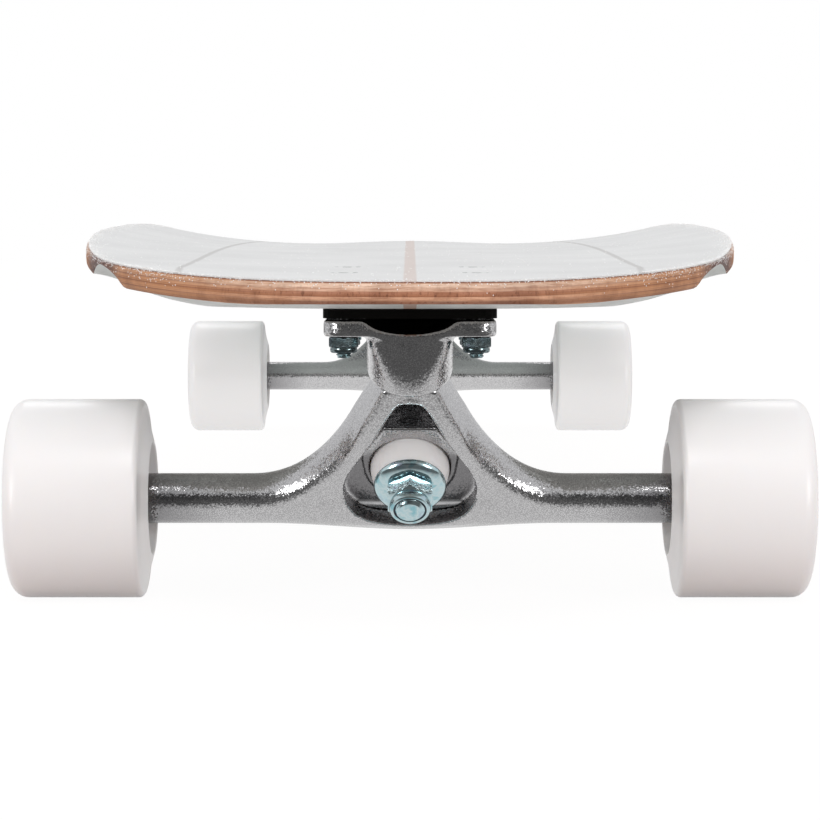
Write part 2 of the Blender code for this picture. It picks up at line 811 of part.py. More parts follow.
def window_outline():
    """The hanger's window, a triangle with round corners and swelling sides."""
    top, low, half = WINDOW_TOP, WINDOW_BOTTOM, WINDOW_HALF_WIDTH
    right = [
        (half * 0.13, top),
        (half * 0.60, top * 0.52),
        (half * 0.94, top * 0.02),
        (half * 0.95, low * 0.56),
        (half * 0.60, low * 0.88),
    ]
    points = [*right, (0, low)] + [(-x, y) for x, y in reversed(right)]
    return smooth_loop(points, 2)


def window_cutter(axle, deep):
    """The window's space on the road side. Its floor stays clear of the axle, and sinks away from
    the bushing ring towards the opening."""
    half = WINDOW_HALF_WIDTH * 1.5
    bend = WINDOW_UPPER_START
    low, high = 2 * WINDOW_BOTTOM, 2 * WINDOW_TOP
    at_axle = axle.z - AXLE_DIAMETER / 2 - CLEARANCE - WALL_OVER_AXLE
    at_low = at_axle + WINDOW_FLOOR_SLOPE * (low - axle.y)
    at_bend = at_axle + WINDOW_FLOOR_SLOPE * (bend - axle.y)
    at_high = at_bend + WINDOW_UPPER_SLOPE * (high - bend)
    side_view = [(low, -deep), (low, at_low), (bend, at_bend), (high, at_high), (high, -deep)]
    floor = lofted("floor", [[(x, y, z) for y, z in side_view] for x in (-half, half)])
    outline = prism("window", [(p.x, p.y) for p in window_outline()], -0.9 * deep, deep)
    return carved("window", outline, [("INTERSECT", floor, Matrix.Identity(4))])


def hanger():
    """The cast hanger, in the steering frame: arms and axle tube lofted in one, the window sunk
    round the bushing ring, an opening over the ring, bushing seats, bores and the pivot nose."""
    tube = TUBE_DIAMETER / 2
    end = HANGER_WIDTH / 2
    half_stations = [share * ARM_FOOT for share in ARM_STATIONS]
    stations = [-x for x in reversed(half_stations[1:])] + half_stations
    rings = [hanger_section(x, tube) for x in stations]
    for side in (-1, 1):
        far = [
            hanger_section(side * (end - CASTING_CHAMFER), tube),
            hanger_section(side * end, tube - CASTING_CHAMFER),
        ]
        rings = [*rings, *far] if side > 0 else [*reversed(far), *rings]
    body = lofted("hanger_body", rings)

    here = Matrix.Identity(4)
    ring_radius = RING_DIAMETER / 2
    deep = 2 * RING_THICKNESS
    axle = AXLE_IN_STEER
    window = window_cutter(axle, deep)
    low, high, cut = ring_radius / 2, OPENING_TOP, OPENING_CORNER
    side = [(OPENING_FOOT, low), (OPENING_HEAD, high - cut), (OPENING_HEAD - cut, high)]
    opening = side + [(-x, y) for x, y in reversed(side)]
    gap_over_ring = prism("gap_over_ring", opening, -deep, deep)

    half = RING_THICKNESS / 2
    ring = turned(
        "ring",
        [
            (0, -half),
            (ring_radius - CASTING_CHAMFER, -half),
            (ring_radius, CASTING_CHAMFER - half),
            (ring_radius, half - CASTING_CHAMFER),
            (ring_radius - CASTING_CHAMFER, half),
            (0, half),
        ],
        CASTING_SIDES,
        ring=False,
    )
    seat_radius = hole(BUSHING_DIAMETER / 2, RING_SIDES)
    bore_radius = RING_BORE_DIAMETER / 2
    seat = [(0, SEAT), (seat_radius, SEAT), (seat_radius, deep), (0, deep)]
    board_seat = turned("board_seat", seat, RING_SIDES, ring=False)
    road_seat = turned("road_seat", [(r, -z) for r, z in reversed(seat)], RING_SIDES, ring=False)
    bore = turned(
        "ring_bore",
        [(0, -deep), (bore_radius, -deep), (bore_radius, deep), (0, deep)],
        RING_SIDES,
        ring=False,
    )
    nose_radius = NOSE_DIAMETER / 2
    root_radius = NOSE_ROOT_DIAMETER / 2
    face = PIVOT_FACE - CLEARANCE
    tip = face + PIVOT_CUP_DEPTH - PIVOT_CUP_FLOOR - CLEARANCE
    nose = turned(
        "nose",
        [
            (0, OPENING_TOP + NOSE_WALL),
            (root_radius, OPENING_TOP + NOSE_WALL),
            (nose_radius + NOSE_STEP, face - PIVOT_CUP_LIP - NOSE_STEP),
            (nose_radius, face - PIVOT_CUP_LIP + NOSE_STEP),
            (nose_radius, tip - nose_radius * 0.45),
            (nose_radius * 0.70, tip),
            (0, tip),
        ],
        RING_SIDES,
        ring=False,
    )
    axle_radius = hole(AXLE_DIAMETER / 2, SMALL_SIDES)
    axle_bore = turned(
        "axle_bore",
        [(0, -HANGER_WIDTH), (axle_radius, -HANGER_WIDTH), (axle_radius, HANGER_WIDTH),
         (0, HANGER_WIDTH)],
        SMALL_SIDES,
        ring=False,
    )
    return carved(
        "hanger",
        body,
        [
            ("DIFFERENCE", window, here),
            ("DIFFERENCE", gap_over_ring, here),
            ("UNION", ring, here),
            ("UNION", nose, ALONG_Y),
            ("DIFFERENCE", road_seat, here),
            ("DIFFERENCE", board_seat, here),
            ("DIFFERENCE", bore, here),
            ("DIFFERENCE", axle_bore, Matrix.Translation(axle) @ ALONG_X),
        ],
    )


# Wheels: turned about Z, which points away from the truck, from the middle of the core


def tyre():
    """The cast urethane tyre, with a rounded tread, a coned inner face and a dished outer face."""
    tread = WHEEL_DIAMETER / 2
    bore = CORE_DIAMETER / 2 + CLEARANCE
    hub_ring = HUB_RING_DIAMETER / 2
    dish = OUTER_DISH_DIAMETER / 2
    outer, inner = OUTER_LIP_RADIUS, INNER_LIP_RADIUS
    profile = [
        (bore, -CORE_HALF),
        (hub_ring, -HUB_RING_INBOARD),
        (tread - inner, -TREAD_INBOARD),
        (tread, inner - TREAD_INBOARD),
        (tread, TREAD_OUTBOARD - outer),
        (tread - outer * 0.30, TREAD_OUTBOARD - outer * 0.30),
        (tread - outer, TREAD_OUTBOARD),
        (dish, TREAD_OUTBOARD - OUTER_DISH_FALL),
        (bore, CORE_HALF),
    ]
    return turned("tyre", profile, TYRE_SIDES, phase=0.5)


def core():
    """The hard hub in the tyre, with a seat for a bearing in each end."""
    outer = CORE_DIAMETER / 2
    seat = hole(BEARING_DIAMETER / 2, RING_SIDES)
    lip = BEARING_DIAMETER / 2 - CORE_LIP
    step = BEARING_START - CLEARANCE
    profile = [
        (seat, -CORE_HALF),
        (outer, -CORE_HALF),
        (outer, CORE_HALF),
        (seat, CORE_HALF),
        (seat, step),
        (lip, step),
        (lip, -step),
        (seat, -step),
    ]
    return turned("core", profile, RING_SIDES)


def bearing():
    """A shielded ball bearing as one ring, from one face at height 0."""
    bore = hole(AXLE_DIAMETER / 2)
    outer = BEARING_DIAMETER / 2
    profile = [(bore, 0), (outer, 0), (outer, BEARING_WIDTH), (bore, BEARING_WIDTH)]
    return turned("bearing", profile, BEARING_SIDES)


def wheel_meshes():
    """The pieces of one wheel and of its stretch of axle, by name."""
    return {
        "tyre": tyre(),
        "core": core(),
        "bearing": bearing(),
        "axle_nut": lock_nut("axle_nut", AXLE_NUT_ACROSS_FLATS, AXLE_NUT_HEIGHT, AXLE_DIAMETER),
    }


def axle():
    """The steel axle, turned about Z from end to end."""
    radius = AXLE_DIAMETER / 2
    half = WHEEL_CENTRE + AXLE_NUT_START + AXLE_NUT_HEIGHT + AXLE_STUB
    profile = [
        (0, -half),
        (radius - AXLE_CHAMFER, -half),
        (radius, AXLE_CHAMFER - half),
        (radius, half - AXLE_CHAMFER),
        (radius - AXLE_CHAMFER, half),
        (0, half),
    ]
    return turned("axle", profile, SMALL_SIDES, ring=False)


# Assembly


def finishes():
    """Colour, roughness and metallic value of each kind of piece."""
    return {
        "wood": finish("wood", (0.45, 0.20, 0.09), 0.45),
        "grit": finish("grit", (0.72, 0.73, 0.72), 0.85),
        "casting": finish("casting", (0.42, 0.42, 0.43), 0.32, 1.0),
        "zinc": finish("zinc", (0.46, 0.60, 0.62), 0.22, 1.0),
        "steel": finish("steel", (0.50, 0.50, 0.52), 0.28, 1.0),
        "black_steel": finish("black_steel", (0.06, 0.06, 0.07), 0.35, 1.0),
        "riser": finish("riser", (0.01, 0.01, 0.01), 0.70),
        "white_urethane": finish("white_urethane", (0.83, 0.83, 0.82), 0.30),
        "dark_urethane": finish("dark_urethane", (0.02, 0.02, 0.02), 0.40),
        "core": finish("core", (0.55, 0.55, 0.55), 0.45),
    }


def build_deck(look):
    core_mesh, grip_mesh = deck_meshes()
    places = []
    for end in (-1, 1):
        for x, row in bolt_places():
            place = (end * x, end * (AXLE_Y + row), AXLE_HEIGHT + bolt_top(x, row))
            places.append(Matrix.Translation(place))
    holes = grouped("deck_holes", bolt_hole(3 * DECK_THICKNESS, countersunk=True), places)
    here = Matrix.Identity(4)

    edge = half_width(AXLE_Y)
    well_depth = deck_top(edge, AXLE_Y) - WELL_ROOF - PAD_HEIGHT
    well_narrowing = math.sqrt(1 - (WELL_OVERHANG / WELL_HALF_WIDTH) ** 2)
    well_size = Vector((WELL_HALF_WIDTH, WELL_HALF_LENGTH, well_depth / well_narrowing))
    well_places = []
    for end in (-1, 1):
        for side in (-1, 1):
            middle = Vector((side * (edge + WELL_OVERHANG), end * AXLE_Y, PAD_HEIGHT))
            well_places.append(Matrix.LocRotScale(middle, None, well_size))
    wells = grouped("wheel_wells", ball("wheel_well", 16, 8), well_places)

    deck = carved("deck", core_mesh, [("DIFFERENCE", wells, here), ("DIFFERENCE", holes, here)])
    grip = carved("grip", grip_mesh, [("DIFFERENCE", holes, here)])
    piece("deck", deck, look["wood"])
    piece("grip_layer", grip, look["grit"])


def truck_meshes():
    """The meshes that both trucks share, by node name without its prefix."""
    return {
        "riser": riser(),
        "baseplate": baseplate(),
        "deck_bolt": deck_bolt(),
        "deck_nut": lock_nut("deck_nut", DECK_NUT_ACROSS_FLATS, DECK_NUT_HEIGHT, BOLT_DIAMETER),
        "kingpin": kingpin(),
        "kingpin_nut": lock_nut(
            "kingpin_nut", KINGPIN_HEAD_ACROSS_FLATS, KINGPIN_NUT_HEIGHT, KINGPIN_DIAMETER
        ),
        "roadside_washer": cup_washer(),
        "boardside_washer": cup_washer(),
        "roadside_bushing": bushing(
            "roadside_bushing", ROADSIDE_BUSHING_HEIGHT, 0.3, ROADSIDE_BUSHING_END
        ),
        "boardside_bushing": bushing(
            "boardside_bushing", BOARDSIDE_BUSHING_HEIGHT, 0.0, ROADSIDE_BUSHING_END
        ),
        "pivot_cup": pivot_cup(),
        "hanger": hanger(),
        "axle": axle(),
    }


def build_truck(prefix, end, meshes, wheels, look):
    """One truck with its wheels. The end is -1 at the front of the board and 1 at the rear."""
    heading = math.pi if end < 0 else 0.0
    truck = empty(prefix + "_truck", None, (0, end * AXLE_Y, AXLE_HEIGHT), (0, 0, heading))
    stack = empty(
        prefix + "_kingpin_frame",
        truck,
        (0, RING_OUTBOARD, RING_ABOVE_AXLE),
        (STEER_ANGLE, 0, 0),
    )
    steer = empty(prefix + "_steer", stack)

    piece(prefix + "_riser", meshes["riser"], look["riser"], truck)
    piece(prefix + "_baseplate", meshes["baseplate"], look["casting"], truck)

    upside_down = (math.pi, 0, 0)
    nut_face = TRUCK_HEIGHT - PLATE_THICKNESS - CLEARANCE
    for number, (x, row) in enumerate(bolt_places(), start=1):
        at = (x * -end, row)
        bolt = meshes["deck_bolt"]
        nut = meshes["deck_nut"]
        piece(f"{prefix}_deck_bolt_{number}", bolt, look["black_steel"], truck, (*at, bolt_top(*at)))
        piece(f"{prefix}_deck_nut_{number}", nut, look["zinc"], truck, (*at, nut_face), upside_down)

    along_steering_axis = (math.radians(-90), 0, 0)
    piece(prefix + "_kingpin", meshes["kingpin"], look["zinc"], stack)
    piece(
        prefix + "_kingpin_nut",
        meshes["kingpin_nut"],
        look["zinc"],
        stack,
        (0, 0, KINGPIN_NUT_START),
        upside_down,
    )
    piece(
        prefix + "_roadside_washer",
        meshes["roadside_washer"],
        look["zinc"],
        stack,
        (0, 0, ROAD_WASHER_HIGH - CUP_WASHER_THICKNESS),
    )
    piece(
        prefix + "_boardside_washer",
        meshes["boardside_washer"],
        look["zinc"],
        stack,
        (0, 0, BOARD_WASHER_LOW + CUP_WASHER_THICKNESS),
        upside_down,
    )
    piece(
        prefix + "_roadside_bushing",
        meshes["roadside_bushing"],
        look["white_urethane"],
        stack,
        (0, 0, -SEAT - CLEARANCE),
        upside_down,
    )
    piece(
        prefix + "_boardside_bushing",
        meshes["boardside_bushing"],
        look["dark_urethane"],
        stack,
        (0, 0, BOARD_BUSHING_LOW),
    )
    piece(
        prefix + "_pivot_cup",
        meshes["pivot_cup"],
        look["dark_urethane"],
        stack,
        (0, 0, 0),
        along_steering_axis,
    )

    piece(prefix + "_hanger", meshes["hanger"], look["casting"], steer)
    axle_frame = empty(prefix + "_axle_frame", steer, AXLE_IN_STEER, (-STEER_ANGLE, 0, 0))
    piece(
        prefix + "_axle", meshes["axle"], look["steel"], axle_frame, (0, 0, 0), (0, math.pi / 2, 0)
    )

    wheel_pieces = (
        ("tyre", "tyre", "white_urethane", 0.0),
        ("core", "core", "core", 0.0),
        ("inner_bearing", "bearing", "steel", -BEARING_STOP),
        ("outer_bearing", "bearing", "steel", BEARING_START),
        ("axle_nut", "axle_nut", "zinc", AXLE_NUT_START),
    )
    for side, name in ((1, "left"), (-1, "right")):
        across = side * -end
        wheel = empty(
            f"{prefix}_{name}_wheel",
            axle_frame,
            (across * WHEEL_CENTRE, 0, 0),
            (0, across * math.pi / 2, 0),
        )
        for part, mesh, slot, start in wheel_pieces:
            piece(f"{prefix}_{name}_{part}", wheels[mesh], look[slot], wheel, (0, 0, start))


clear_scene()
LOOK = finishes()
build_deck(LOOK)
TRUCK_MESHES = truck_meshes()
WHEEL_MESHES = wheel_meshes()
for TRUCK_NAME, TRUCK_END in (("front", -1), ("rear", 1)):
    build_truck(TRUCK_NAME, TRUCK_END, TRUCK_MESHES, WHEEL_MESHES, LOOK)
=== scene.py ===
import math

import bmesh
import bpy
import numpy as np
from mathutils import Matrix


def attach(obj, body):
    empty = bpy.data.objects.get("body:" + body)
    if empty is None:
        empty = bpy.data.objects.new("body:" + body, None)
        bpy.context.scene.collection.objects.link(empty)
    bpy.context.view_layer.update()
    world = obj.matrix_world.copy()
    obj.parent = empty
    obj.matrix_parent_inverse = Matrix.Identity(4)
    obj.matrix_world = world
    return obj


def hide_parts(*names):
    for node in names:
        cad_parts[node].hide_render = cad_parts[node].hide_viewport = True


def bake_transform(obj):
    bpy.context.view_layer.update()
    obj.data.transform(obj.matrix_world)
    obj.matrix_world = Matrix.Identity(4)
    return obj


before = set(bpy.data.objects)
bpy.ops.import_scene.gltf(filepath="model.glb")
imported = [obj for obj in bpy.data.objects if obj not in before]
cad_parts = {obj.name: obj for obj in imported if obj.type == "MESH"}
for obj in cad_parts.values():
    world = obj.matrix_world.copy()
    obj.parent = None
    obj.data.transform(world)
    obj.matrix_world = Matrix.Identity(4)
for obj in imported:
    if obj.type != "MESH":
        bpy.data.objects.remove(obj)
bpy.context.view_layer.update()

import openvdb
from mathutils import Matrix, Vector

# Deck: thin hardwood plies glued and pressed in a mould, with a camber along the board and a
# concave across it. Its edge is sanded bare, its underside is painted, and a shallow well is
# ground into the underside over each wheel.

AXLE_Y, AXLE_HEIGHT = 0.370, 0.0323435
DECK_LENGTH, DECK_HALF_WIDTH, DECK_THICKNESS = 0.994, 0.123, 0.0106
WIDEST_TO, NARROWING = 0.150, 0.0225
END_BOW, END_CORNER, CORNERS_FROM = 0.007, 0.0075, 0.88
CAMBER, CAMBER_HALF_WAVE = 0.0082, 0.520
CONCAVE_AT_ENDS, CONCAVE_GAIN, CONCAVE_CURVE = 0.0055, 0.0057, 2.9
RIDGE, RIDGE_END, RIDGE_WIDTH = 0.0032, 0.308, 0.045
PAD_HEIGHT, PAD_INBOARD, PAD_OUTBOARD, PAD_BLEND = 0.0960435, 0.042, 0.055, 0.05
EDGE_THICKNESS, END_THICKNESS, THIN_SHARE = 0.0062, 0.0056, 0.26
PLIES_DEPTH, PLY_WANDER, BARE_LINE_HALF = 0.0110, 0.016, 0.0019
WELL_OUT, WELL_REACH, WELL_HALF_WIDE, WELL_HALF_LONG, WELL_ROOF = 0.017, 0.046, 0.047, 0.052, 0.0008
UNDER_GRIP = 0.0006


def smooth(share):
    share = np.clip(share, 0.0, 1.0)
    return share * share * (3 - 2 * share)


def half_width(y):
    truck = (np.maximum(np.abs(y) - WIDEST_TO, 0) / (AXLE_Y - WIDEST_TO)) ** 2
    end = (np.maximum(np.abs(y) - AXLE_Y, 0) / (DECK_LENGTH / 2 - AXLE_Y)) ** 1.6
    return DECK_HALF_WIDTH - NARROWING * truck - NARROWING * end


def camber(y):
    return CAMBER * (1 - np.cos(math.pi * np.abs(y) / CAMBER_HALF_WAVE)) / 2


def crown(y):
    return PAD_HEIGHT + DECK_THICKNESS + camber(AXLE_Y) - camber(y)


def deck_top(x, y):
    """Height of the deck's top: concave, with a low ridge along the middle of the board."""
    gain = CONCAVE_GAIN * (1 + np.cos(math.pi * np.minimum(np.abs(y) / AXLE_Y, 1))) / 2
    concave = (CONCAVE_AT_ENDS + gain) * (np.abs(x) / DECK_HALF_WIDTH) ** CONCAVE_CURVE
    ridge = RIDGE * (1 + np.cos(math.pi * np.minimum(np.abs(y) / RIDGE_END, 1))) / 2
    return crown(y) + concave - ridge * (1 - np.exp(-((x / RIDGE_WIDTH) ** 2)))


def deck_thickness(x, y):
    """Full at the middle, flat on the truck pads, thin at the edges, the ends and the wells."""
    along = np.abs(y)
    pad_start, pad_stop = AXLE_Y - PAD_INBOARD, AXLE_Y + PAD_OUTBOARD
    over_pad = crown(y) - PAD_HEIGHT
    blend = smooth((along - pad_start + PAD_BLEND) / PAD_BLEND)
    middle = blend * over_pad + (1 - blend) * DECK_THICKNESS
    at_stop = crown(pad_stop) - PAD_HEIGHT
    end = at_stop + (END_THICKNESS - at_stop) * (along - pad_stop) / (DECK_LENGTH / 2 - pad_stop)
    full = np.where(along < pad_start, middle, np.where(along <= pad_stop, over_pad, end))
    edge = np.minimum(EDGE_THICKNESS, full)
    across = np.abs(x) / half_width(y)
    return full - (full - edge) * smooth((across - 1 + THIN_SHARE) / THIN_SHARE)


def well_roof(x, y):
    """Height of the wells ground over the wheels, or nothing outside them."""
    rim = half_width(AXLE_Y)
    depth = deck_top(rim, AXLE_Y) - WELL_ROOF - PAD_HEIGHT
    tall = depth / math.sqrt(1 - (WELL_OUT / WELL_REACH) ** 2)
    across = (np.abs(x) - rim - WELL_OUT) / WELL_HALF_WIDE
    along = (np.abs(y) - AXLE_Y) / WELL_HALF_LONG
    inside = 1 - across**2 - along**2
    return np.where(inside > 0, PAD_HEIGHT + tall * np.sqrt(np.maximum(inside, 0)), 0.0)


def end_bow(share, y):
    """How far the outline curves back from the board's end, by the share of the half width."""
    reach = np.abs(y) / (DECK_LENGTH / 2)
    bow = END_BOW * share**2 * smooth((reach - 0.80) / 0.20)
    corner = np.maximum(reach - CORNERS_FROM, 0) / 0.12
    return bow + END_CORNER * np.abs(share) ** 5 * corner**2


def deck_places(rows, columns):
    """The (x, y) of a grid over the whole board, closer together at its rim."""
    along = np.sin(np.linspace(-1, 1, rows) * math.pi / 2) * DECK_LENGTH / 2
    across = np.sin(np.linspace(-1, 1, columns) * math.pi / 2)
    y, share = np.meshgrid(along, across, indexing="ij")
    x = share * half_width(y)
    return x, y - np.copysign(end_bow(share, y), y)


def closed(mesh, gap, sliver=0.0):
    """The mesh with its doubles merged, slivers gone and its faces turned outwards."""
    bm = bmesh.new()
    bm.from_mesh(mesh)
    bmesh.ops.remove_doubles(bm, verts=bm.verts, dist=gap)
    if sliver:
        bmesh.ops.dissolve_degenerate(bm, dist=sliver, edges=bm.edges)
    bmesh.ops.recalc_face_normals(bm, faces=bm.faces)
    bm.to_mesh(mesh)
    bm.free()
    return mesh


def sheet_mesh(name, rows, columns, top, bottom, layers, bulge):
    """A sheet over the board's whole outline, from its top surface to its bottom surface, with a
    rounded edge of so many layers. Each point keeps its depth under the top."""
    x, y = deck_places(rows, columns)
    high, low = top(x, y), bottom(x, y)
    points = [np.stack([x, y, high], -1).reshape(-1, 3), np.stack([x, y, low], -1).reshape(-1, 3)]
    depths = [np.zeros(x.size), (high - low).reshape(-1)]
    index = np.arange(x.size).reshape(x.shape)
    quads = np.stack([index[:-1, :-1], index[1:, :-1], index[1:, 1:], index[:-1, 1:]], -1)
    faces = [quads.reshape(-1, 4)[:, ::-1], quads.reshape(-1, 4) + x.size]
    rim = np.concatenate([index[0, :-1], index[:-1, -1], index[-1, :0:-1], index[:0:-1, 0]])
    upper, lower = points[0][rim], points[1][rim]
    run = np.roll(upper, -1, 0) - np.roll(upper, 1, 0)
    outward = np.stack([run[:, 1], -run[:, 0], np.zeros(len(rim))], -1)
    outward /= np.linalg.norm(outward, axis=1)[:, None]
    walls = []
    for layer in range(layers + 1):
        share = layer / layers
        out = bulge * math.sqrt(max(1 - (2 * share - 1) ** 4, 0))
        walls.append(upper + (lower - upper) * share + outward * out)
        depths.append((upper - lower)[:, 2] * share)
    count = len(rim)
    base = 2 * x.size + np.arange(count)
    for layer in range(layers):
        near = base + layer * count
        far = near + count
        faces.append(np.stack([near, far, np.roll(far, -1), np.roll(near, -1)], -1))
    all_points = np.concatenate(points + walls)
    mesh = bpy.data.meshes.new(name)
    mesh.from_pydata(all_points.tolist(), [], np.concatenate(faces).tolist())
    kind = np.concatenate([np.zeros(len(faces[0])), np.full(len(faces[1]), 2),
                           np.full(layers * count, 1)])
    mesh.polygons.foreach_set("material_index", kind.astype(np.int32))
    depth = mesh.attributes.new("depth", "FLOAT", "POINT")
    depth.data.foreach_set("value", np.concatenate(depths).astype(np.float32))
    return closed(mesh, 2e-6)


class Pattern:
    """A node tree that colours something, and short names for the nodes that it needs."""

    def __init__(self, tree, coordinates):
        self.tree = tree
        self.place = self.node("TexCoord").outputs[coordinates]

    def node(self, kind, inputs=(), **settings):
        """A shader node, its inputs linked or set, and its settings."""
        node = self.tree.nodes.new("ShaderNode" + kind)
        for key, value in settings.items():
            setattr(node, key, value)
        for socket, value in dict(inputs).items():
            if isinstance(value, bpy.types.NodeSocket):
                self.tree.links.new(value, node.inputs[socket])
            else:
                node.inputs[socket].default_value = value
        return node

    def noise(self, size, detail=3.0, roughness=0.5, stretch=(1, 1, 1)):
        """Noise whose lumps are about so many metres across."""
        place = self.place
        if stretch != (1, 1, 1):
            place = self.node("Mapping", {"Vector": place, "Scale": stretch}).outputs[0]
        inputs = {"Vector": place, "Scale": 1 / size, "Detail": detail, "Roughness": roughness}
        return self.node("TexNoise", inputs).outputs["Fac"]

    def attribute(self, name):
        return self.node("Attribute", attribute_name=name).outputs["Fac"]

    def maths(self, operation, a, b=0.0, c=0.0):
        node = self.node("Math", {0: a, 1: b, 2: c}, operation=operation)
        return node.outputs[0]

    def times(self, a, b):
        return self.maths("MULTIPLY", a, b)

    def vector(self, operation, a, b=(0, 0, 0), c=(0, 0, 0)):
        node = self.node("VectorMath", {0: a, 1: b, 2: c}, operation=operation)
        return node.outputs[0]

    def ramp(self, value, stops):
        """A colour ramp through (position, colour) stops; a colour may be one grey value."""
        node = self.node("ValToRGB", {"Fac": value})
        elements = node.color_ramp.elements
        elements.remove(elements[1])
        elements[0].position = stops[0][0]
        for i, (position, colour) in enumerate(stops):
            element = elements.new(position) if i else elements[0]
            grey = isinstance(colour, (int, float))
            element.color = (colour, colour, colour, 1) if grey else (*colour, 1)
        return node.outputs["Color"]

    def mix(self, share, a, b, blend="MIX"):
        """One colour over another, by share."""
        node = self.node("Mix", data_type="RGBA", blend_type=blend)
        for socket, value in ((0, share), (6, a), (7, b)):
            if isinstance(value, bpy.types.NodeSocket):
                self.tree.links.new(value, node.inputs[socket])
            elif isinstance(value, tuple):
                node.inputs[socket].default_value = (*value, 1)
            else:
                node.inputs[socket].default_value = value
        return node.outputs[2]

    def axes(self):
        return self.node("SeparateXYZ", {0: self.place}).outputs

    def away(self, axis):
        """Distance from the middle along one axis."""
        return self.maths("ABSOLUTE", self.axes()[axis])


class Finish(Pattern):
    """A Principled material and its pattern."""

    def __init__(self, name, colour, roughness, metallic=0.0):
        self.material = bpy.data.materials.new(name)
        self.material.use_nodes = True
        super().__init__(self.material.node_tree, "Object")
        self.shader = self.tree.nodes["Principled BSDF"]
        self.shader.inputs["Base Color"].default_value = (*colour, 1)
        self.shader.inputs["Roughness"].default_value = roughness
        self.shader.inputs["Metallic"].default_value = metallic

    def set(self, socket, value):
        self.tree.links.new(value, self.shader.inputs[socket])

    def uneven(self, pattern, low, high):
        """Roughness that a pattern moves between two values."""
        self.set("Roughness", self.ramp(pattern, [(0.3, low), (0.7, high)]))

    def bump(self, height, depth, strength):
        """Bumps so many metres deep."""
        inputs = {"Height": height, "Distance": depth, "Strength": strength}
        self.set("Normal", self.node("Bump", inputs).outputs[0])


def ply_finish():
    """Bare plies by their depth under the top: long plies with streaks along the board, cross plies
    with the dark ends of their grain, and at the board's far sides and ends a dark frayed crust."""
    finish = Finish("deck_plies", (0.5, 0.3, 0.2), 0.55)
    finish.shader.inputs["Specular IOR Level"].default_value = 0.25
    wander = finish.maths("MULTIPLY_ADD", finish.noise(0.05, 2), PLY_WANDER, -PLY_WANDER / 2)
    depth = finish.maths("DIVIDE", finish.attribute("depth"), PLIES_DEPTH)
    layers = finish.maths("ADD", depth, wander)
    tones = finish.ramp(layers, [
        (0.000, (0.20, 0.085, 0.045)), (0.022, (0.34, 0.160, 0.100)), (0.045, (0.82, 0.590, 0.450)),
        (0.117, (0.88, 0.650, 0.500)), (0.171, (0.66, 0.430, 0.310)), (0.230, (0.76, 0.480, 0.340)),
        (0.252, (0.46, 0.220, 0.135)), (0.270, (0.50, 0.240, 0.150)), (0.342, (0.40, 0.170, 0.090)),
        (0.373, (0.30, 0.125, 0.065)), (0.387, (0.72, 0.410, 0.265)), (0.450, (0.74, 0.420, 0.270)),
        (0.486, (0.50, 0.290, 0.190)), (0.504, (0.34, 0.180, 0.120)), (0.594, (0.32, 0.170, 0.120)),
        (0.612, (0.62, 0.360, 0.230)), (0.810, (0.70, 0.450, 0.310)),
    ])
    streaks = finish.noise(0.0006, 4, 0.7, stretch=(0.08, 0.08, 1.0))
    ends = finish.noise(0.0009, 3, 0.8, stretch=(1.0, 1.0, 0.35))
    cross = finish.ramp(layers, [
        (0.243, 0.25), (0.261, 1.0), (0.369, 1.0), (0.387, 0.25),
        (0.486, 0.25), (0.504, 1.0), (0.594, 1.0), (0.612, 0.25)])
    streaked = finish.ramp(streaks, [(0.43, 0.0), (0.64, 0.60)])
    tones = finish.mix(streaked, tones, (0.36, 0.150, 0.075))
    pores = finish.times(finish.ramp(ends, [(0.52, 0.0), (0.66, 0.70)]), cross)
    tones = finish.mix(pores, tones, (0.16, 0.060, 0.035))
    shifts = finish.noise(0.012, 4, 0.6)
    shifts = finish.ramp(shifts, [(0.38, (0.74, 0.70, 0.68)), (0.58, (1.0, 1.0, 1.0))])
    lines = finish.ramp(finish.maths("FRACT", finish.times(layers, 6.6)), [
        (0.0, 1.0), (0.16, 0.35), (0.50, 0.0), (0.70, 0.55), (0.80, 0.1), (0.92, 0.4), (1.0, 1.0)])
    tan = finish.mix(lines, (0.57, 0.270, 0.120), (0.20, 0.070, 0.028))
    side = finish.ramp(finish.away("X"), [(0.030, 0.0), (0.075, 0.85)])
    tones = finish.mix(side, tones, tan)
    outer = finish.ramp(finish.away("X"), [(0.0920, 0.0), (0.0950, 1.0)])
    end = finish.ramp(finish.away("Y"), [(0.300, 0.0), (0.340, 1.0)])
    crust = finish.ramp(finish.noise(0.0014, 3, 0.7), [
        (0.48, (0.07, 0.025, 0.018)), (0.56, (0.22, 0.09, 0.060)), (0.66, (0.62, 0.50, 0.45))])
    tones = finish.mix(finish.times(outer, end), tones, crust)
    finish.set("Base Color", finish.mix(1.0, tones, shifts, blend="MULTIPLY"))
    finish.bump(finish.maths("ADD", streaks, finish.times(ends, 0.5)), 0.00012, 0.6)
    return finish.material


def underside_finish():
    """Pale green-grey paint with a thin line of bare wood along the middle."""
    finish = Finish("deck_underside_paint", (0.60, 0.66, 0.64), 0.38)
    line = finish.maths("LESS_THAN", finish.away("X"), BARE_LINE_HALF)
    mottle = finish.noise(0.02, 4)
    mottle = finish.ramp(mottle, [(0.3, (0.60, 0.66, 0.64)), (0.7, (0.70, 0.75, 0.73))])
    finish.set("Base Color", finish.mix(line, mottle, (0.50, 0.36, 0.28)))
    finish.uneven(finish.noise(0.006, 3), 0.32, 0.48)
    finish.bump(finish.noise(0.004, 2), 0.00004, 0.4)
    return finish.material


def placed(name, data):
    """An object in the scene that holds a mesh, a light or a camera."""
    thing = bpy.data.objects.new(name, data)
    bpy.context.scene.collection.objects.link(thing)
    return thing


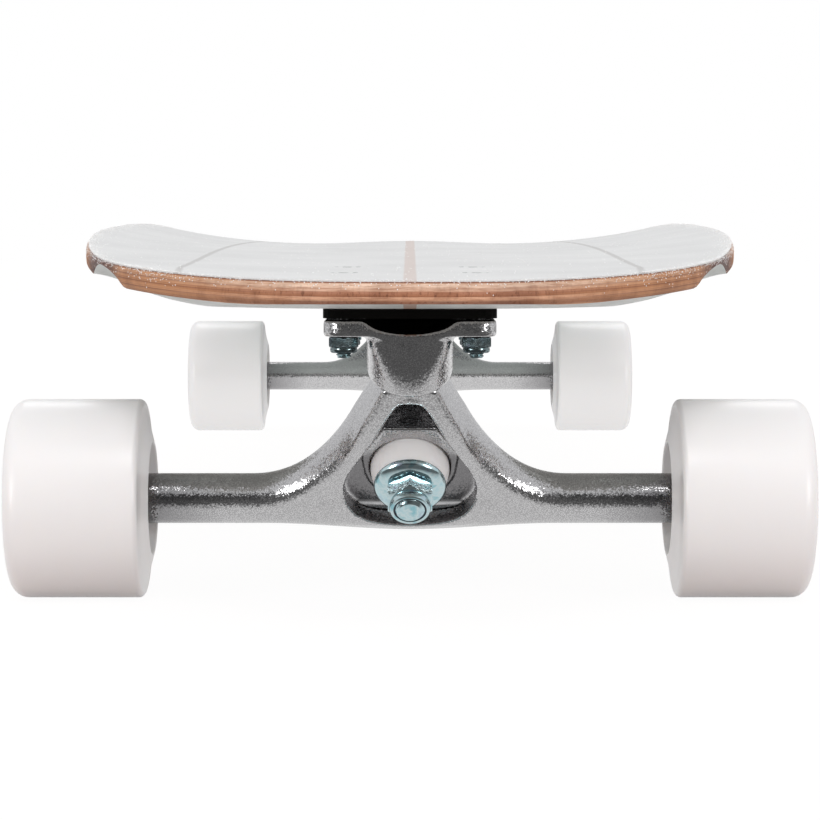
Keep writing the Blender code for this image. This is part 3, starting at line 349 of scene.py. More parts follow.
def show(name, mesh, body, slot, finishes, *nodes, place=Matrix(), angle=32, bends=None):
    """One finished piece on its body: its place goes into its mesh, and it stands for its nodes. A
    casting's mesh brings its own normals, and an angle of 0 keeps them. A piece given bends keeps
    its place but rides no body; the name and heights in its bends are not used."""
    mesh = mesh.copy()
    mesh.transform(place)
    normals = mesh.attributes.get("casting_normal")
    if normals is not None:
        turn = np.array(place.to_3x3())
        given = np.empty(len(mesh.vertices) * 3)
        normals.data.foreach_get("vector", given)
        mesh.attributes.remove(normals)
    for finish in finishes if isinstance(finishes, (list, tuple)) else [finishes]:
        mesh.materials.append(finish)
    mesh.shade_smooth()
    if normals is not None:
        mesh.normals_split_custom_set_from_vertices((given.reshape(-1, 3) @ turn.T).tolist())
    elif angle:
        mesh.set_sharp_from_angle(angle=math.radians(angle))
    piece = placed(name, mesh)
    if bends:
        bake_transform(piece)
    else:
        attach(piece, body)
    if nodes:
        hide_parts(*nodes)


def deck_bottom(x, y):
    return np.maximum(deck_top(x, y) - deck_thickness(x, y), well_roof(x, y))


def bare_top(x, y):
    return deck_top(x, y) + UNDER_GRIP


deck_mesh = sheet_mesh("deck_mesh", 260, 72, bare_top, deck_bottom, 6, 0.0010)
PLIES, PAINT = ply_finish(), underside_finish()
show("deck_plies", deck_mesh, "board", "wood", [PLIES, PLIES, PAINT], "deck", angle=40)

# Grip: clear resin full of pale grit, sprayed on the whole top, with one thin stripe along the
# middle and a fine curved line on each side. Its rim is rough, and grains spill over it.

GRIP_LOW, GRIP_HIGH, STRIPE_HALF = 0.00068, 0.0011, 0.0019
LINE_FROM_MIDDLE, LINE_HALF, LINE_DRAWN_IN = 0.0725, 0.0009, 0.0060
GRAIN_RADIUS, GRAINS, GRAINS_DOWN_TO, GRAINS_INWARD = 0.00020, 1.6e6, 0.0055, 0.0016


def group_tree(name, sockets):
    """An empty Geometry Nodes tree with a mesh in and out, and named inputs."""
    tree = bpy.data.node_groups.new(name, "GeometryNodeTree")
    tree.interface.new_socket("Geometry", in_out="OUTPUT", socket_type="NodeSocketGeometry")
    for label, kind in (("Geometry", "Geometry"), *sockets):
        tree.interface.new_socket(label, in_out="INPUT", socket_type="NodeSocket" + kind)
    return tree, tree.nodes.new("NodeGroupInput"), tree.nodes.new("NodeGroupOutput")


def wire(tree, *wires):
    """Links, each from a node's output to another node's input."""
    for source, output, target, entry in wires:
        tree.links.new(source.outputs[output], target.inputs[entry])


def painted(tree, place, entry, leave):
    """The end of a tree: its copies made real and given their finish."""
    real = tree.nodes.new("GeometryNodeRealizeInstances")
    paint = tree.nodes.new("GeometryNodeSetMaterial")
    wire(tree, (place, "Instances", real, "Geometry"), (real, "Geometry", paint, "Geometry"),
         (entry, "Finish", paint, "Material"), (paint, "Geometry", leave, "Geometry"))


def grown(name, start, tree, **values):
    """What a Geometry Nodes tree makes of a mesh, as a plain mesh."""
    holder = placed(name, start)
    modifier = holder.modifiers.new("nodes", "NODES")
    modifier.node_group = tree
    for socket in tree.interface.items_tree:
        if socket.name in values:
            modifier[socket.identifier] = values[socket.name]
    bpy.context.view_layer.update()
    graph = bpy.context.evaluated_depsgraph_get()
    mesh = bpy.data.meshes.new_from_object(holder.evaluated_get(graph))
    bpy.data.objects.remove(holder)
    return mesh


def grit_tree():
    """Grains thrown at random on a surface, as thick as its own grit attribute says."""
    tree, entry, leave = group_tree("grit_grains", [
        ("Finish", "Material"), ("Per square metre", "Float"),
        ("Radius", "Float"), ("Seed", "Int")])
    new = tree.nodes.new
    share = new("GeometryNodeInputNamedAttribute")
    share.inputs["Name"].default_value = "grit"
    density = new("ShaderNodeMath")
    density.operation = "MULTIPLY"
    scatter = new("GeometryNodeDistributePointsOnFaces")
    grain = new("GeometryNodeMeshIcoSphere")
    size, turn = new("FunctionNodeRandomValue"), new("FunctionNodeRandomValue")
    spans = (size, (0.6, 0.6, 0.4), (1.6, 1.4, 1.0)), (turn, (0, 0, 0), (3.1, 3.1, 3.1))
    for node, low, high in spans:
        node.data_type = "FLOAT_VECTOR"
        node.inputs[0].default_value, node.inputs[1].default_value = low, high
    place = new("GeometryNodeInstanceOnPoints")
    wire(tree, (share, "Attribute", density, 0), (entry, "Per square metre", density, 1),
         (entry, "Geometry", scatter, "Mesh"), (density, 0, scatter, "Density"),
         (entry, "Seed", scatter, "Seed"), (entry, "Radius", grain, "Radius"),
         (scatter, "Points", place, "Points"), (grain, "Mesh", place, "Instance"),
         (size, 0, place, "Scale"), (turn, 0, place, "Rotation"))
    painted(tree, place, entry, leave)
    return tree


def grip_finish():
    """Pale grit in clear resin over a printed ground: one stripe on the middle line, and a thin
    grey line on each side of it."""
    finish = Finish("grip_grit", (0.80, 0.80, 0.79), 0.62)
    grains = finish.noise(0.0007, 3, 0.75)
    cloud = finish.noise(0.04, 3)
    base = finish.ramp(cloud, [(0.3, (0.66, 0.66, 0.655)), (0.7, (0.72, 0.72, 0.715))])
    pits = finish.ramp(grains, [(0.30, 1.0), (0.40, 0.0)])
    base = finish.mix(finish.times(pits, 0.30), base, (0.42, 0.41, 0.40))
    across = finish.away("X")
    ragged = finish.maths("MULTIPLY_ADD", finish.noise(0.0015, 2), 0.0008, -0.0004)
    across = finish.maths("ADD", across, ragged)
    stripe = finish.ramp(finish.times(across, 100.0),
                         [(STRIPE_HALF * 85, 1.0), (STRIPE_HALF * 115, 0.0)])
    base = finish.mix(finish.times(stripe, 0.55), base, (0.58, 0.44, 0.38))
    inward = finish.ramp(finish.away("Y"), [(0.400, 0.0), (0.490, 1.0)])
    drawn_in = finish.maths("MULTIPLY_ADD", inward, LINE_DRAWN_IN, across)
    from_line = finish.maths("ABSOLUTE", finish.maths("SUBTRACT", drawn_in, LINE_FROM_MIDDLE))
    line = finish.ramp(finish.times(from_line, 100.0),
                       [(LINE_HALF * 60, 1.0), (LINE_HALF * 160, 0.0)])
    base = finish.mix(finish.times(line, 0.55), base, (0.40, 0.385, 0.37))
    finish.set("Base Color", base)
    finish.uneven(grains, 0.80, 0.55)
    finish.bump(grains, 0.00008, 0.7)
    return finish.material


def grain_finish():
    finish = Finish("loose_quartz_grain", (0.88, 0.88, 0.87), 0.25)
    tints = [(0.3, (0.84, 0.80, 0.76)), (0.6, (0.95, 0.95, 0.95))]
    finish.set("Base Color", finish.ramp(finish.noise(0.002, 1), tints))
    return finish.material


def grip_high(x, y):
    return deck_top(x, y) + GRIP_HIGH


def grip_low(x, y):
    return deck_top(x, y) + GRIP_LOW


grip_mesh = sheet_mesh("grip_mesh", 220, 60, grip_high, grip_low, 2, 0.0)
GRIT, GRAIN, GRIT_TREE = grip_finish(), grain_finish(), grit_tree()
show("grip_coat", grip_mesh, "board", "grit", [GRIT, GRIT, GRIT], "grip_layer", angle=40)


def grained(name, mesh, thickness, seed):
    """Grains on a mesh: thick along the board's rim and at its corners, thin elsewhere, and gone at
    a depth under the grip."""
    spots = np.empty(len(mesh.vertices) * 3)
    mesh.vertices.foreach_get("co", spots)
    x, y, z = spots.reshape(-1, 3).T
    flat = np.abs(y)
    for _ in range(8):
        bow = end_bow(np.minimum(np.abs(x) / half_width(flat), 1), flat)
        flat = np.minimum(np.abs(y) + bow, DECK_LENGTH / 2)
    side_room = half_width(flat) - np.abs(x)
    end_room = DECK_LENGTH / 2 - flat
    to_rim = np.maximum(np.minimum(side_room, end_room), 0)
    corner = smooth((np.abs(x) - 0.060) / 0.03) * smooth((np.abs(y) - 0.40) / 0.05)
    sunk = np.maximum(deck_top(x, y) + UNDER_GRIP - z, 0)
    grit = np.exp(-to_rim / GRAINS_INWARD - sunk / (0.0007 + 0.0012 * corner))
    grit = grit * (0.6 + 1.2 * corner)
    grit = np.where(sunk < GRAINS_DOWN_TO, grit + thickness, 0.0).astype(np.float32)
    mesh.attributes.new("grit", "FLOAT", "POINT").data.foreach_set("value", grit)
    values = {"Finish": GRAIN, "Per square metre": GRAINS, "Radius": GRAIN_RADIUS, "Seed": seed}
    show(name, grown(name, mesh, GRIT_TREE, **values), "board", "grit", GRAIN, angle=0)


grained("grip_grains", grip_mesh, 0.003, 7)
grained("edge_grains", deck_mesh, 0.0, 11)

# Risers: sheets of black rubber, die-cut to the baseplate's outline. The deck bolts clamp one
# between the deck and each baseplate, which keeps the wheels off the wood.


def riser_finish():
    finish = Finish("riser_rubber", (0.003, 0.003, 0.0025), 0.8)
    finish.shader.inputs["Specular IOR Level"].default_value = 0.12
    finish.bump(finish.noise(0.0008, 3), 0.0001, 0.5)
    return finish.material


RISER = riser_finish()
ENDS = ("front", "rear")
for end in ENDS:
    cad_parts[end + "_riser"].data.materials.clear()
    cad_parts[end + "_riser"].data.materials.append(RISER)

# Hangers: aluminium cast in sand moulds, then tumbled, with two arms, a ring for the bushings, a
# triangular window, an axle tube and a nose that sits in the pivot cup.

STEER_ANGLE = math.radians(50)
RING_OUTBOARD, RING_ABOVE_AXLE = 0.0100, 0.0159
HANGER_HALF, TUBE_RADIUS, BEAM_BULGE = 0.090, 0.0082, 0.0020
AXLE_BORE, PIN_BORE, SEAT_RADIUS, SEAT = 0.0043, 0.0068, 0.0131, 0.0025
ARM_FOOT, ARM_SWEEP, ARM_CURVE = 0.052, 0.078, 2.2
ARM_APEX, ARM_CREST, ARM_HALF, ARM_BOARD_SIDE = 0.0345, 0.00575, 0.00715, 0.0058
RING_RADIUS, RING_HALF = 0.0170, 0.0070
NOSE_RADIUS, NOSE_SWELL, NOSE_ROOT, NOSE_TIP = 0.0061, 0.0024, 0.0290, 0.0448

TRUCK = {
    "front": Matrix.Translation((0, -AXLE_Y, AXLE_HEIGHT)) @ Matrix.Rotation(math.pi, 4, "Z"),
    "rear": Matrix.Translation((0, AXLE_Y, AXLE_HEIGHT)),
}
STEER = Matrix.Translation((0, RING_OUTBOARD, RING_ABOVE_AXLE))
STEER = STEER @ Matrix.Rotation(STEER_ANGLE, 4, "X")
AXLE_SPOT = STEER.inverted() @ Vector((0, 0, 0))


def union(a, b, radius):
    """Two fields of distances joined, with a fillet of about so much."""
    radius = np.maximum(radius, 1e-6)
    share = np.clip(0.5 + 0.5 * (b - a) / radius, 0, 1)
    return b + (a - b) * share - radius * share * (1 - share)


def common(a, b, radius):
    return -union(-a, -b, radius)


def cut(a, b, radius):
    return -union(-a, b, radius)


def outline_distance(x, y, corners):
    """Distance from a closed outline in the plane, below zero inside it."""
    x, y = np.broadcast_arrays(x, y)
    nearest = np.full(x.shape, 1e9)
    inside = np.zeros(x.shape, bool)
    for (x0, y0), (x1, y1) in zip(corners, corners[1:] + corners[:1]):
        run_x, run_y = x1 - x0, y1 - y0
        share = np.clip(((x - x0) * run_x + (y - y0) * run_y) / (run_x**2 + run_y**2), 0, 1)
        nearest = np.minimum(nearest, np.hypot(x - x0 - share * run_x, y - y0 - share * run_y))
        if y0 != y1:
            inside ^= ((y0 > y) != (y1 > y)) & (x < (y - y0) * run_x / run_y + x0)
    return np.where(inside, -nearest, nearest)


def rounded_loop(points, steps):
    """A smooth closed curve through the points."""
    curve = []
    for i in range(len(points)):
        p0, p1, p2, p3 = (Vector(points[(i + k) % len(points)]) for k in (-1, 0, 1, 2))
        for step in range(steps):
            t = step / steps
            p = 0.5 * (2 * p1 + (p2 - p0) * t + (2 * p0 - 5 * p1 + 4 * p2 - p3) * t * t
                       + (3 * p1 - p0 - 3 * p2 + p3) * t**3)
            curve.append((p.x, p.y))
    return curve


def cast(name, field, low, high, pitch, recess=None):
    """A casting's skin, where its field of distances crosses zero. Its points are drawn onto the
    true surface, and its normals come from the field, so that fillets read clean."""
    axes = [np.arange(a, b + pitch, pitch) for a, b in zip(low, high)]
    x, y, z = np.meshgrid(*axes, indexing="ij", sparse=True)
    band = 4 * pitch
    grid = openvdb.FloatGrid(band)
    grid.copyFromArray(np.ascontiguousarray(np.clip(field(x, y, z), -band, band), np.float32))
    grid.transform = openvdb.createLinearTransform(voxelSize=pitch)
    points, quads = grid.convertToQuads(0.0)
    points = points.astype(float) + np.array(low)

    def slope(spots, reach=0.00012):
        steps = reach * np.eye(3)
        rises = [field(*(spots + step).T) - field(*(spots - step).T) for step in steps]
        return np.stack(rises, -1) / (2 * reach)

    for _ in range(2):
        lean = slope(points)
        step = field(*points.T)[:, None] * lean / np.maximum((lean**2).sum(1, keepdims=True), 0.04)
        points -= np.clip(step, -0.4 * pitch, 0.4 * pitch)
    lean = slope(points)
    mesh = bpy.data.meshes.new(name)
    mesh.from_pydata(points.tolist(), [], quads.tolist())
    if recess:
        depth = np.clip(recess(*points.T), 0, 1).astype(np.float32)
        mesh.attributes.new("recess", "FLOAT", "POINT").data.foreach_set("value", depth)
    mesh.attributes.new("casting_normal", "FLOAT_VECTOR", "POINT")
    outward = lean / np.maximum(np.linalg.norm(lean, axis=1, keepdims=True), 1e-9)
    mesh.attributes["casting_normal"].data.foreach_set("vector", outward.ravel())
    a, b, c, d = np.array(quads).T
    facing = np.cross(points[c] - points[a], points[d] - points[b])
    if (facing * outward[a]).sum(1).mean() < 0:
        mesh.flip_normals()
    return mesh


WINDOW_TOP, WINDOW_LOW, WINDOW_HALF = 0.0284, -0.0210, 0.0212
ARM_FRONT, ARM_FRONT_TOP, ARM_BACK = 0.0082, 0.0070, 0.0070
OPENING = [(0.0074, 0.0176), (0.0034, 0.0262), (-0.0034, 0.0262), (-0.0074, 0.0176)]
WEB = [(0.0086, 0.0174), (0.0158, 0.0040), (-0.0158, 0.0040), (-0.0086, 0.0174)]
MACHINED_END, MACHINED_RADIUS = 0.0024, 0.0079


def window_loop():
    """The window's outline: straight sides that swell into round lower corners."""
    right = [(0.0036, WINDOW_TOP), (0.0118, 0.0128), (WINDOW_HALF * 0.93, -0.0010)]
    right += [(WINDOW_HALF, -0.0105), (WINDOW_HALF * 0.70, WINDOW_LOW * 0.86)]
    return rounded_loop([*right, (0, WINDOW_LOW)] + [(-a, b) for a, b in reversed(right)], 6)


WINDOW = window_loop()


def window_floor(y):
    return AXLE_SPOT.z - 0.0036 + 0.055 * (y - AXLE_SPOT.y) + 0.20 * np.maximum(y - 0.003, 0)


def hanger_recess(x, y, z):
    """How deep in the window a point lies, from 0 at its rim to 1 on its floor: where the casting's
    colour gets painted shade and its surface more roughness.
    """
    inside = smooth(-outline_distance(x, y, WINDOW) / 0.0016)
    sunk = smooth((z - AXLE_SPOT.z + 0.0100) / 0.0040)
    beside_ring = (z < -0.0062) * (np.hypot(x, y) < RING_RADIUS + 0.0010)
    crescent = smooth((y - 0.0040) / 0.0060) * beside_ring
    return 0.75 * inside * sunk * (1 - crescent) * smooth((0.0200 - y) / 0.0050)


def hanger_field(x, y, z):
    """In the steering frame: x across, y along the steering axis, z along the kingpin."""
    apex = Vector((ARM_APEX - ARM_CREST, ARM_BOARD_SIDE - ARM_HALF))
    root = Vector((AXLE_SPOT.y, AXLE_SPOT.z))
    rise = (apex - root).normalized()
    reach_limit = (apex - root).length
    u = (y - root.x) * rise.x + (z - root.y) * rise.y
    w = -(y - root.x) * rise.y + (z - root.y) * rise.x
    side = np.abs(x)
    taper = np.clip(1 - side / ARM_FOOT, 0, 1)
    free_reach = ARM_SWEEP * taper**ARM_CURVE
    slope = ARM_SWEEP * ARM_CURVE * taper ** (ARM_CURVE - 1) / ARM_FOOT
    share = np.clip(free_reach / (0.4 * ARM_SWEEP), 0, 1)
    beam_radius = TUBE_RADIUS + BEAM_BULGE * smooth(1 - side / (0.9 * ARM_FOOT))
    beam = np.hypot(u, w) - beam_radius
    half = TUBE_RADIUS + (ARM_CREST - TUBE_RADIUS) * share
    round_arm = np.hypot(u - np.clip(u, 0, np.minimum(free_reach, reach_limit)), w) - half
    front = ARM_FRONT + (ARM_FRONT_TOP - ARM_FRONT) * np.clip(u / reach_limit, 0, 1)
    inward = (free_reach + ARM_CREST - u) / np.sqrt(1 + slope**2)
    ridge = 0.0020 + 0.0018 * smooth((side - 0.014) / 0.010)
    fall = front + 0.0020
    flank = (-fall * (inward - ridge) - ridge * (w + front)) / np.hypot(fall, ridge)
    slab = common(-w - front, w - ARM_BACK, 0.001)
    plate = common(common(slab, flank, 0.0016), common(-inward, -u, 0.001), 0.0018)
    plate = common(plate, u - reach_limit - ARM_CREST, 0.0010)
    arm = round_arm * (1 - share) + plate * share
    body = union(beam, arm, 0.006 * share)

    window = outline_distance(x, y, WINDOW)
    hollow = common(window, z - window_floor(y), 0.0014)
    body = cut(body, hollow, 0.0009)

    radius = np.hypot(x, y)
    rim = radius - RING_RADIUS + 0.0022 * smooth((0.0100 - y) / 0.0120)
    rim = np.minimum(rim, outline_distance(x, y, WEB))
    ring = common(rim, np.abs(z) - RING_HALF, 0.0010)
    body = union(body, ring, 0.0010)
    body = cut(body, outline_distance(x, y, OPENING) + 0 * z, 0.0007)
    swell = NOSE_SWELL * smooth((0.0350 - y) / 0.006)
    nose = common(np.hypot(x, z) - NOSE_RADIUS - swell, y - NOSE_TIP, 0.0030)
    body = union(body, common(nose, NOSE_ROOT - y, 0.001), 0.0012)
    seats = common(radius - SEAT_RADIUS, SEAT - np.abs(z), 0.0002)
    body = cut(body, seats, 0.0004)
    body = cut(body, radius - PIN_BORE + 0 * z, 0.0004)
    about_axle = np.hypot(y - AXLE_SPOT.y, z - AXLE_SPOT.z)
    turned_down = np.where(side > HANGER_HALF - MACHINED_END, about_axle - MACHINED_RADIUS, -1)
    body = common(body, common(side - HANGER_HALF, turned_down, 0.0003), 0.0003)
    return cut(body, about_axle - AXLE_BORE + 0 * x, 0.0002)


FACET, FACET_TILT = 0.00040, 0.18


def aluminium_finish():
    """Tumbled cast aluminium: a skin of small facets, each tilted a little its own way, so that it
    sparkles. Painted shade darkens its colour at the tube's ends and in the window's recesses, and
    the recesses are also rougher, where no stone reaches."""
    finish = Finish("cast_aluminium", (0.55, 0.545, 0.55), 0.2, 1.0)
    recess = finish.attribute("recess")
    patches = finish.noise(0.012, 3, 0.6)
    cells = {"Vector": finish.place, "Scale": 1 / FACET, "Randomness": 1.0}
    cells = finish.node("TexVoronoi", cells).outputs
    rough = finish.ramp(patches, [(0.3, 0.12), (0.7, 0.18)])
    finish.set("Roughness", finish.maths("MULTIPLY_ADD", recess, 0.14, rough))
    tones = [(0.10, (0.76, 0.755, 0.76)), (0.60, (0.46, 0.455, 0.46))]
    tones = finish.ramp(cells["Distance"], tones)
    # Painted shade: the tube's colour darkens towards its ends, next to the wheels.
    ends = finish.ramp(finish.away("X"), [(0.060, 0.0), (0.082, 0.75)])
    tones = finish.mix(ends, tones, (0.20, 0.195, 0.20))
    # Painted shade: the window's recesses get a darker colour.
    finish.set("Base Color", finish.mix(recess, tones, (0.12, 0.115, 0.12)))
    skin = {"Height": finish.noise(0.0012, 2), "Distance": 0.00008}
    skin = finish.node("Bump", skin).outputs[0]
    tilts = finish.vector("SUBTRACT", cells["Color"], (0.5, 0.5, 0.5))
    facets = finish.vector("MULTIPLY_ADD", tilts, (FACET_TILT, FACET_TILT, FACET_TILT), skin)
    finish.set("Normal", finish.vector("NORMALIZE", facets))
    return finish.material


ALUMINIUM = aluminium_finish()
hanger_mesh = cast("hanger_mesh", hanger_field, (-0.0925, -0.0315, -0.0165),
                   (0.0925, 0.0475, 0.0120), 0.00062, hanger_recess)
for end in ENDS:
    show(end + "_hanger_casting", hanger_mesh, end + "_hanger_body", "casting", ALUMINIUM,
         end + "_hanger", place=TRUCK[end] @ STEER, angle=0)

# Baseplates: aluminium cast with a pivot housing, a boss for the kingpin and a scooped front, then
# drilled for four deck bolts. The deck and the riser sit on its flat top.

PLATE_TOP, PLATE_THICKNESS, PLATE_CORNER = 0.0603, 0.0054, 0.006
PLATE_HALF, PLATE_OUTBOARD, PLATE_INBOARD = 0.0270, 0.0520, 0.0360
HOUSING_RADIUS, PIVOT_FACE, CUP_DEPTH, CUP_BORE = 0.0135, 0.0364, 0.0110, 0.0083
BOSS_RADIUS, BOSS_FACE, BOSS_MIDDLE, BOSS_HALF, WEB_HALF = 0.0135, 0.0190, 0.0330, 0.0140, 0.0110
PLATE_PIN_BORE, HEAD_SEAT, HEAD_BORE = 0.0051, 0.0430, 0.0092
SCOOP_LENGTH, SCOOP_DEPTH = 0.0140, 0.0044
BOLT_ROWS, BOLT_HALF_SPACING, BOLT_BORE = (0.0430, -0.0110), 0.02065, 0.0027


def baseplate_field(x, y, z):
    """In the truck's frame: x across, y towards the board's end, z up from the axle."""
    outboard, above = y - RING_OUTBOARD, z - RING_ABOVE_AXLE
    along = math.cos(STEER_ANGLE) * outboard + math.sin(STEER_ANGLE) * above
    over = -math.sin(STEER_ANGLE) * outboard + math.cos(STEER_ANGLE) * above
    middle, reach = (PLATE_OUTBOARD - PLATE_INBOARD) / 2, (PLATE_OUTBOARD + PLATE_INBOARD) / 2
    across = np.abs(x) - PLATE_HALF + PLATE_CORNER
    length = np.abs(y - middle) - reach + PLATE_CORNER
    outline = np.hypot(np.maximum(across, 0), np.maximum(length, 0))
    outline = outline + np.minimum(np.maximum(across, length), 0) - PLATE_CORNER
    slab = np.abs(z - PLATE_TOP + PLATE_THICKNESS / 2) - PLATE_THICKNESS / 2
    flange = common(outline, slab, 0.0014)
    around = np.hypot(x, over)
    housing = common(around - HOUSING_RADIUS, PIVOT_FACE - along, 0.0022)
    housing = common(housing, y - PLATE_OUTBOARD, 0.0060)
    about_pin = np.hypot(x, along)
    boss = common(about_pin - BOSS_RADIUS, np.abs(over - BOSS_MIDDLE) - BOSS_HALF, 0.0012)
    low = STEER @ Vector((0, -BOSS_RADIUS * 0.92, BOSS_FACE + 0.002))
    high = STEER @ Vector((0, BOSS_RADIUS * 0.92, BOSS_FACE + 0.002))
    back = -PLATE_INBOARD - 0.002
    side = [(high.y, high.z), (low.y, low.z),
            (back, low.z + (low.y - back) / math.tan(STEER_ANGLE)), (back, PLATE_TOP),
            (high.y + 0.004, PLATE_TOP)]
    web = outline_distance(y, z, side)
    block = common(web, np.abs(x) - WEB_HALF, 0.0015)
    body = union(flange, housing, 0.0022)
    body = union(body, union(boss, block, 0.0030), 0.0022)
    body = common(body, common(outline, z - PLATE_TOP, 0.0008), 0.0008)
    body = cut(body, common(around - CUP_BORE, along - PIVOT_FACE - CUP_DEPTH, 0.0005), 0.0008)
    body = cut(body, common(about_pin - PLATE_PIN_BORE, over - HEAD_SEAT - 0.002, 0.0002), 0.0004)
    body = cut(body, common(about_pin - HEAD_BORE, HEAD_SEAT - over, 0.0004), 0.0008)
    scoop = ((x / HOUSING_RADIUS) ** 2 + ((y - PLATE_OUTBOARD) / SCOOP_LENGTH) ** 2
             + ((z - PLATE_TOP) / SCOOP_DEPTH) ** 2)
    body = cut(body, (np.sqrt(scoop) - 1) * SCOOP_DEPTH, 0.0010)
    for row in BOLT_ROWS:
        hole = np.hypot(np.abs(x) - BOLT_HALF_SPACING, y - row) - BOLT_BORE
        body = cut(body, hole + 0 * z, 0.0004)
    return body


plate_mesh = cast("plate_mesh", baseplate_field, (-0.0285, -0.0375, 0.0180),
                  (0.0285, 0.0535, 0.0620), 0.0005)
for end in ENDS:
    show(end + "_baseplate_casting", plate_mesh, "board", "casting", ALUMINIUM, end + "_baseplate",
         place=TRUCK[end], angle=0)

# Deck bolts and lock nuts: steel bolts with flat cross-recessed heads sunk flush in the grip, and
# zinc-plated hexagon nuts with a crimped collar under the baseplate's flange.


def turned(name, profile, sides, flats=None, thread=None, ring=True):
    """A piece turned about Z through (radius, height) points. Between two heights its radius can be
    cut back to a hexagon, or wind down and up as a thread."""
    turn = np.linspace(0, 2 * math.pi, sides, endpoint=False)
    rows = []
    for radius, height in profile:
        around = np.full(sides, radius)
        if flats and flats[1] <= height <= flats[2] and radius > flats[0] / 2:
            sixth = (turn + math.pi / 6) % (math.pi / 3) - math.pi / 6
            around = np.minimum(around, flats[0] / 2 / np.cos(sixth))
        if thread and thread[0] < height < thread[1]:
            wave = np.abs((height / thread[2] - turn / (2 * math.pi)) % 1 - 0.5) * 2
            around = around - thread[3] * np.clip(wave * 1.3 - 0.15, 0, 1)
        level = np.full(sides, height)
        rows.append(np.stack([around * np.cos(turn), around * np.sin(turn), level], -1))
    row = np.arange(len(rows) if ring else len(rows) - 1)[:, None]
    near, far = row * sides, (row + 1) % len(rows) * sides
    here, there = np.arange(sides), (np.arange(sides) + 1) % sides
    faces = np.stack([near + here, near + there, far + there, far + here], -1)
    mesh = bpy.data.meshes.new(name)
    mesh.from_pydata(np.concatenate(rows).tolist(), [], faces.reshape(-1, 4).tolist())
    return closed(mesh, 1e-6, sliver=1e-7)


def bend(*stops, steps=6):
    """(radius, height) points along straight runs, cut into steps where a run starts with True."""
    points = []
    for here, there in zip(stops, stops[1:]):
        count = steps if len(here) > 2 else 1
        for step in range(count):
            share = step / count
            points.append(tuple(a + (b - a) * share for a, b in zip(here[:2], there[:2])))
    return [*points, tuple(stops[-1][:2])]


def threaded(radius, low, high, pitch):
    """Rows close enough together for a thread along a straight run."""
    return [(radius, height) for height in np.arange(low, high, pitch / 6)]


def lock_nut_mesh(name, flats, height, bore):
    """A hexagon chamfered at both ends under a rounded collar that grips a ring of nylon."""
    corner, collar = flats / math.sqrt(3), flats * 0.455
    hexagon = 0.66 * height
    profile = bend(
        (bore, 0.0003),
        (flats * 0.47, 0),
        (flats * 0.485, 0.0001, True),
        (corner, height * 0.09),
        (corner, hexagon - height * 0.10, True),
        (flats * 0.485, hexagon),
        (collar, hexagon + 0.0001),
        (collar * 1.02, height * 0.74),
        (collar * 1.02, height * 0.90),
        (collar * 0.97, height * 0.97),
        (collar * 0.90, height),
        (collar * 0.82, height * 0.985),
        (collar * 0.80, height * 0.93),
        (bore, height * 0.93),
    )
    return turned(name, profile, 72, flats=(flats, 0, hexagon))


def zinc_finish(name, tone):
    """Zinc with a blue passivation that drifts between teal and violet, as pale as its tone; a low
    tone gives a copy darkened as painted shade.
    """
    finish = Finish(name, (0.55, 0.68, 0.71), 0.14, 1.0)
    drift = finish.noise(0.004, 2, 0.6)
    tints = [(0.30, (0.30, 0.54, 0.60)), (0.48, (0.58, 0.70, 0.72)),
             (0.60, (0.50, 0.68, 0.72)), (0.72, (0.44, 0.50, 0.60))]
    tints = [(stop, tuple(tone * part for part in colour)) for stop, colour in tints]
    finish.set("Base Color", finish.ramp(drift, tints))
    finish.uneven(finish.noise(0.0012, 3), 0.08, 0.20)
    finish.bump(finish.noise(0.0010, 2), 0.00003, 0.6)
    return finish.material


def bolt_finish():
    """Zinc below the plate and blackened above it, with heads lacquered as pale as the grip. Across
    each head's middle and at its two sides a dark band is painted shade, for its cross recess and
    the gaps round it."""
    finish = Finish("deck_bolt", (0.62, 0.72, 0.74), 0.25, 0.6)
    off = finish.maths("ABSOLUTE", finish.maths("SUBTRACT", finish.away("X"), BOLT_HALF_SPACING))
    # Painted shade: dark bands for the cross recess and the gaps beside each head.
    dark = [(0.13, 1.0), (0.16, 0.0), (0.29, 0.0), (0.32, 1.0)]
    dark = finish.ramp(finish.times(off, 100.0), dark)
    head = finish.mix(dark, (0.70, 0.70, 0.69), (0.04, 0.04, 0.04))
    height = finish.axes()["Z"]
    high = finish.maths("GREATER_THAN", height, AXLE_HEIGHT + PLATE_TOP + 0.0060)
    shank = finish.maths("GREATER_THAN", height, AXLE_HEIGHT + PLATE_TOP - 0.0005)
    body = finish.mix(shank, (0.34, 0.44, 0.46), (0.02, 0.02, 0.02))
    finish.set("Base Color", finish.mix(high, body, head))
    finish.set("Metallic", finish.ramp(shank, [(0.0, 1.0), (1.0, 0.0)]))
    return finish.material


def repeat_tree():
    """Copies of one object on the points of a mesh."""
    tree, entry, leave = group_tree("copies_on_points", [
        ("Copy", "Object"), ("Finish", "Material"), ("Turn", "Rotation")])
    source = tree.nodes.new("GeometryNodeObjectInfo")
    place = tree.nodes.new("GeometryNodeInstanceOnPoints")
    wire(tree, (entry, "Copy", source, "Object"), (entry, "Geometry", place, "Points"),
         (source, "Geometry", place, "Instance"), (entry, "Turn", place, "Rotation"))
    painted(tree, place, entry, leave)
    return tree


REPEAT = repeat_tree()


def repeated(name, mesh, points, finish, turn=(0, 0, 0)):
    """One mesh that holds a copy of the mesh at each point."""
    dots = bpy.data.meshes.new(name + "_points")
    dots.from_pydata([tuple(p) for p in points], [], [])
    model = bpy.data.objects.new(name + "_model", mesh)
    result = grown(name, dots, REPEAT, Copy=model, Finish=finish, Turn=turn)
    bpy.data.objects.remove(model)
    return result


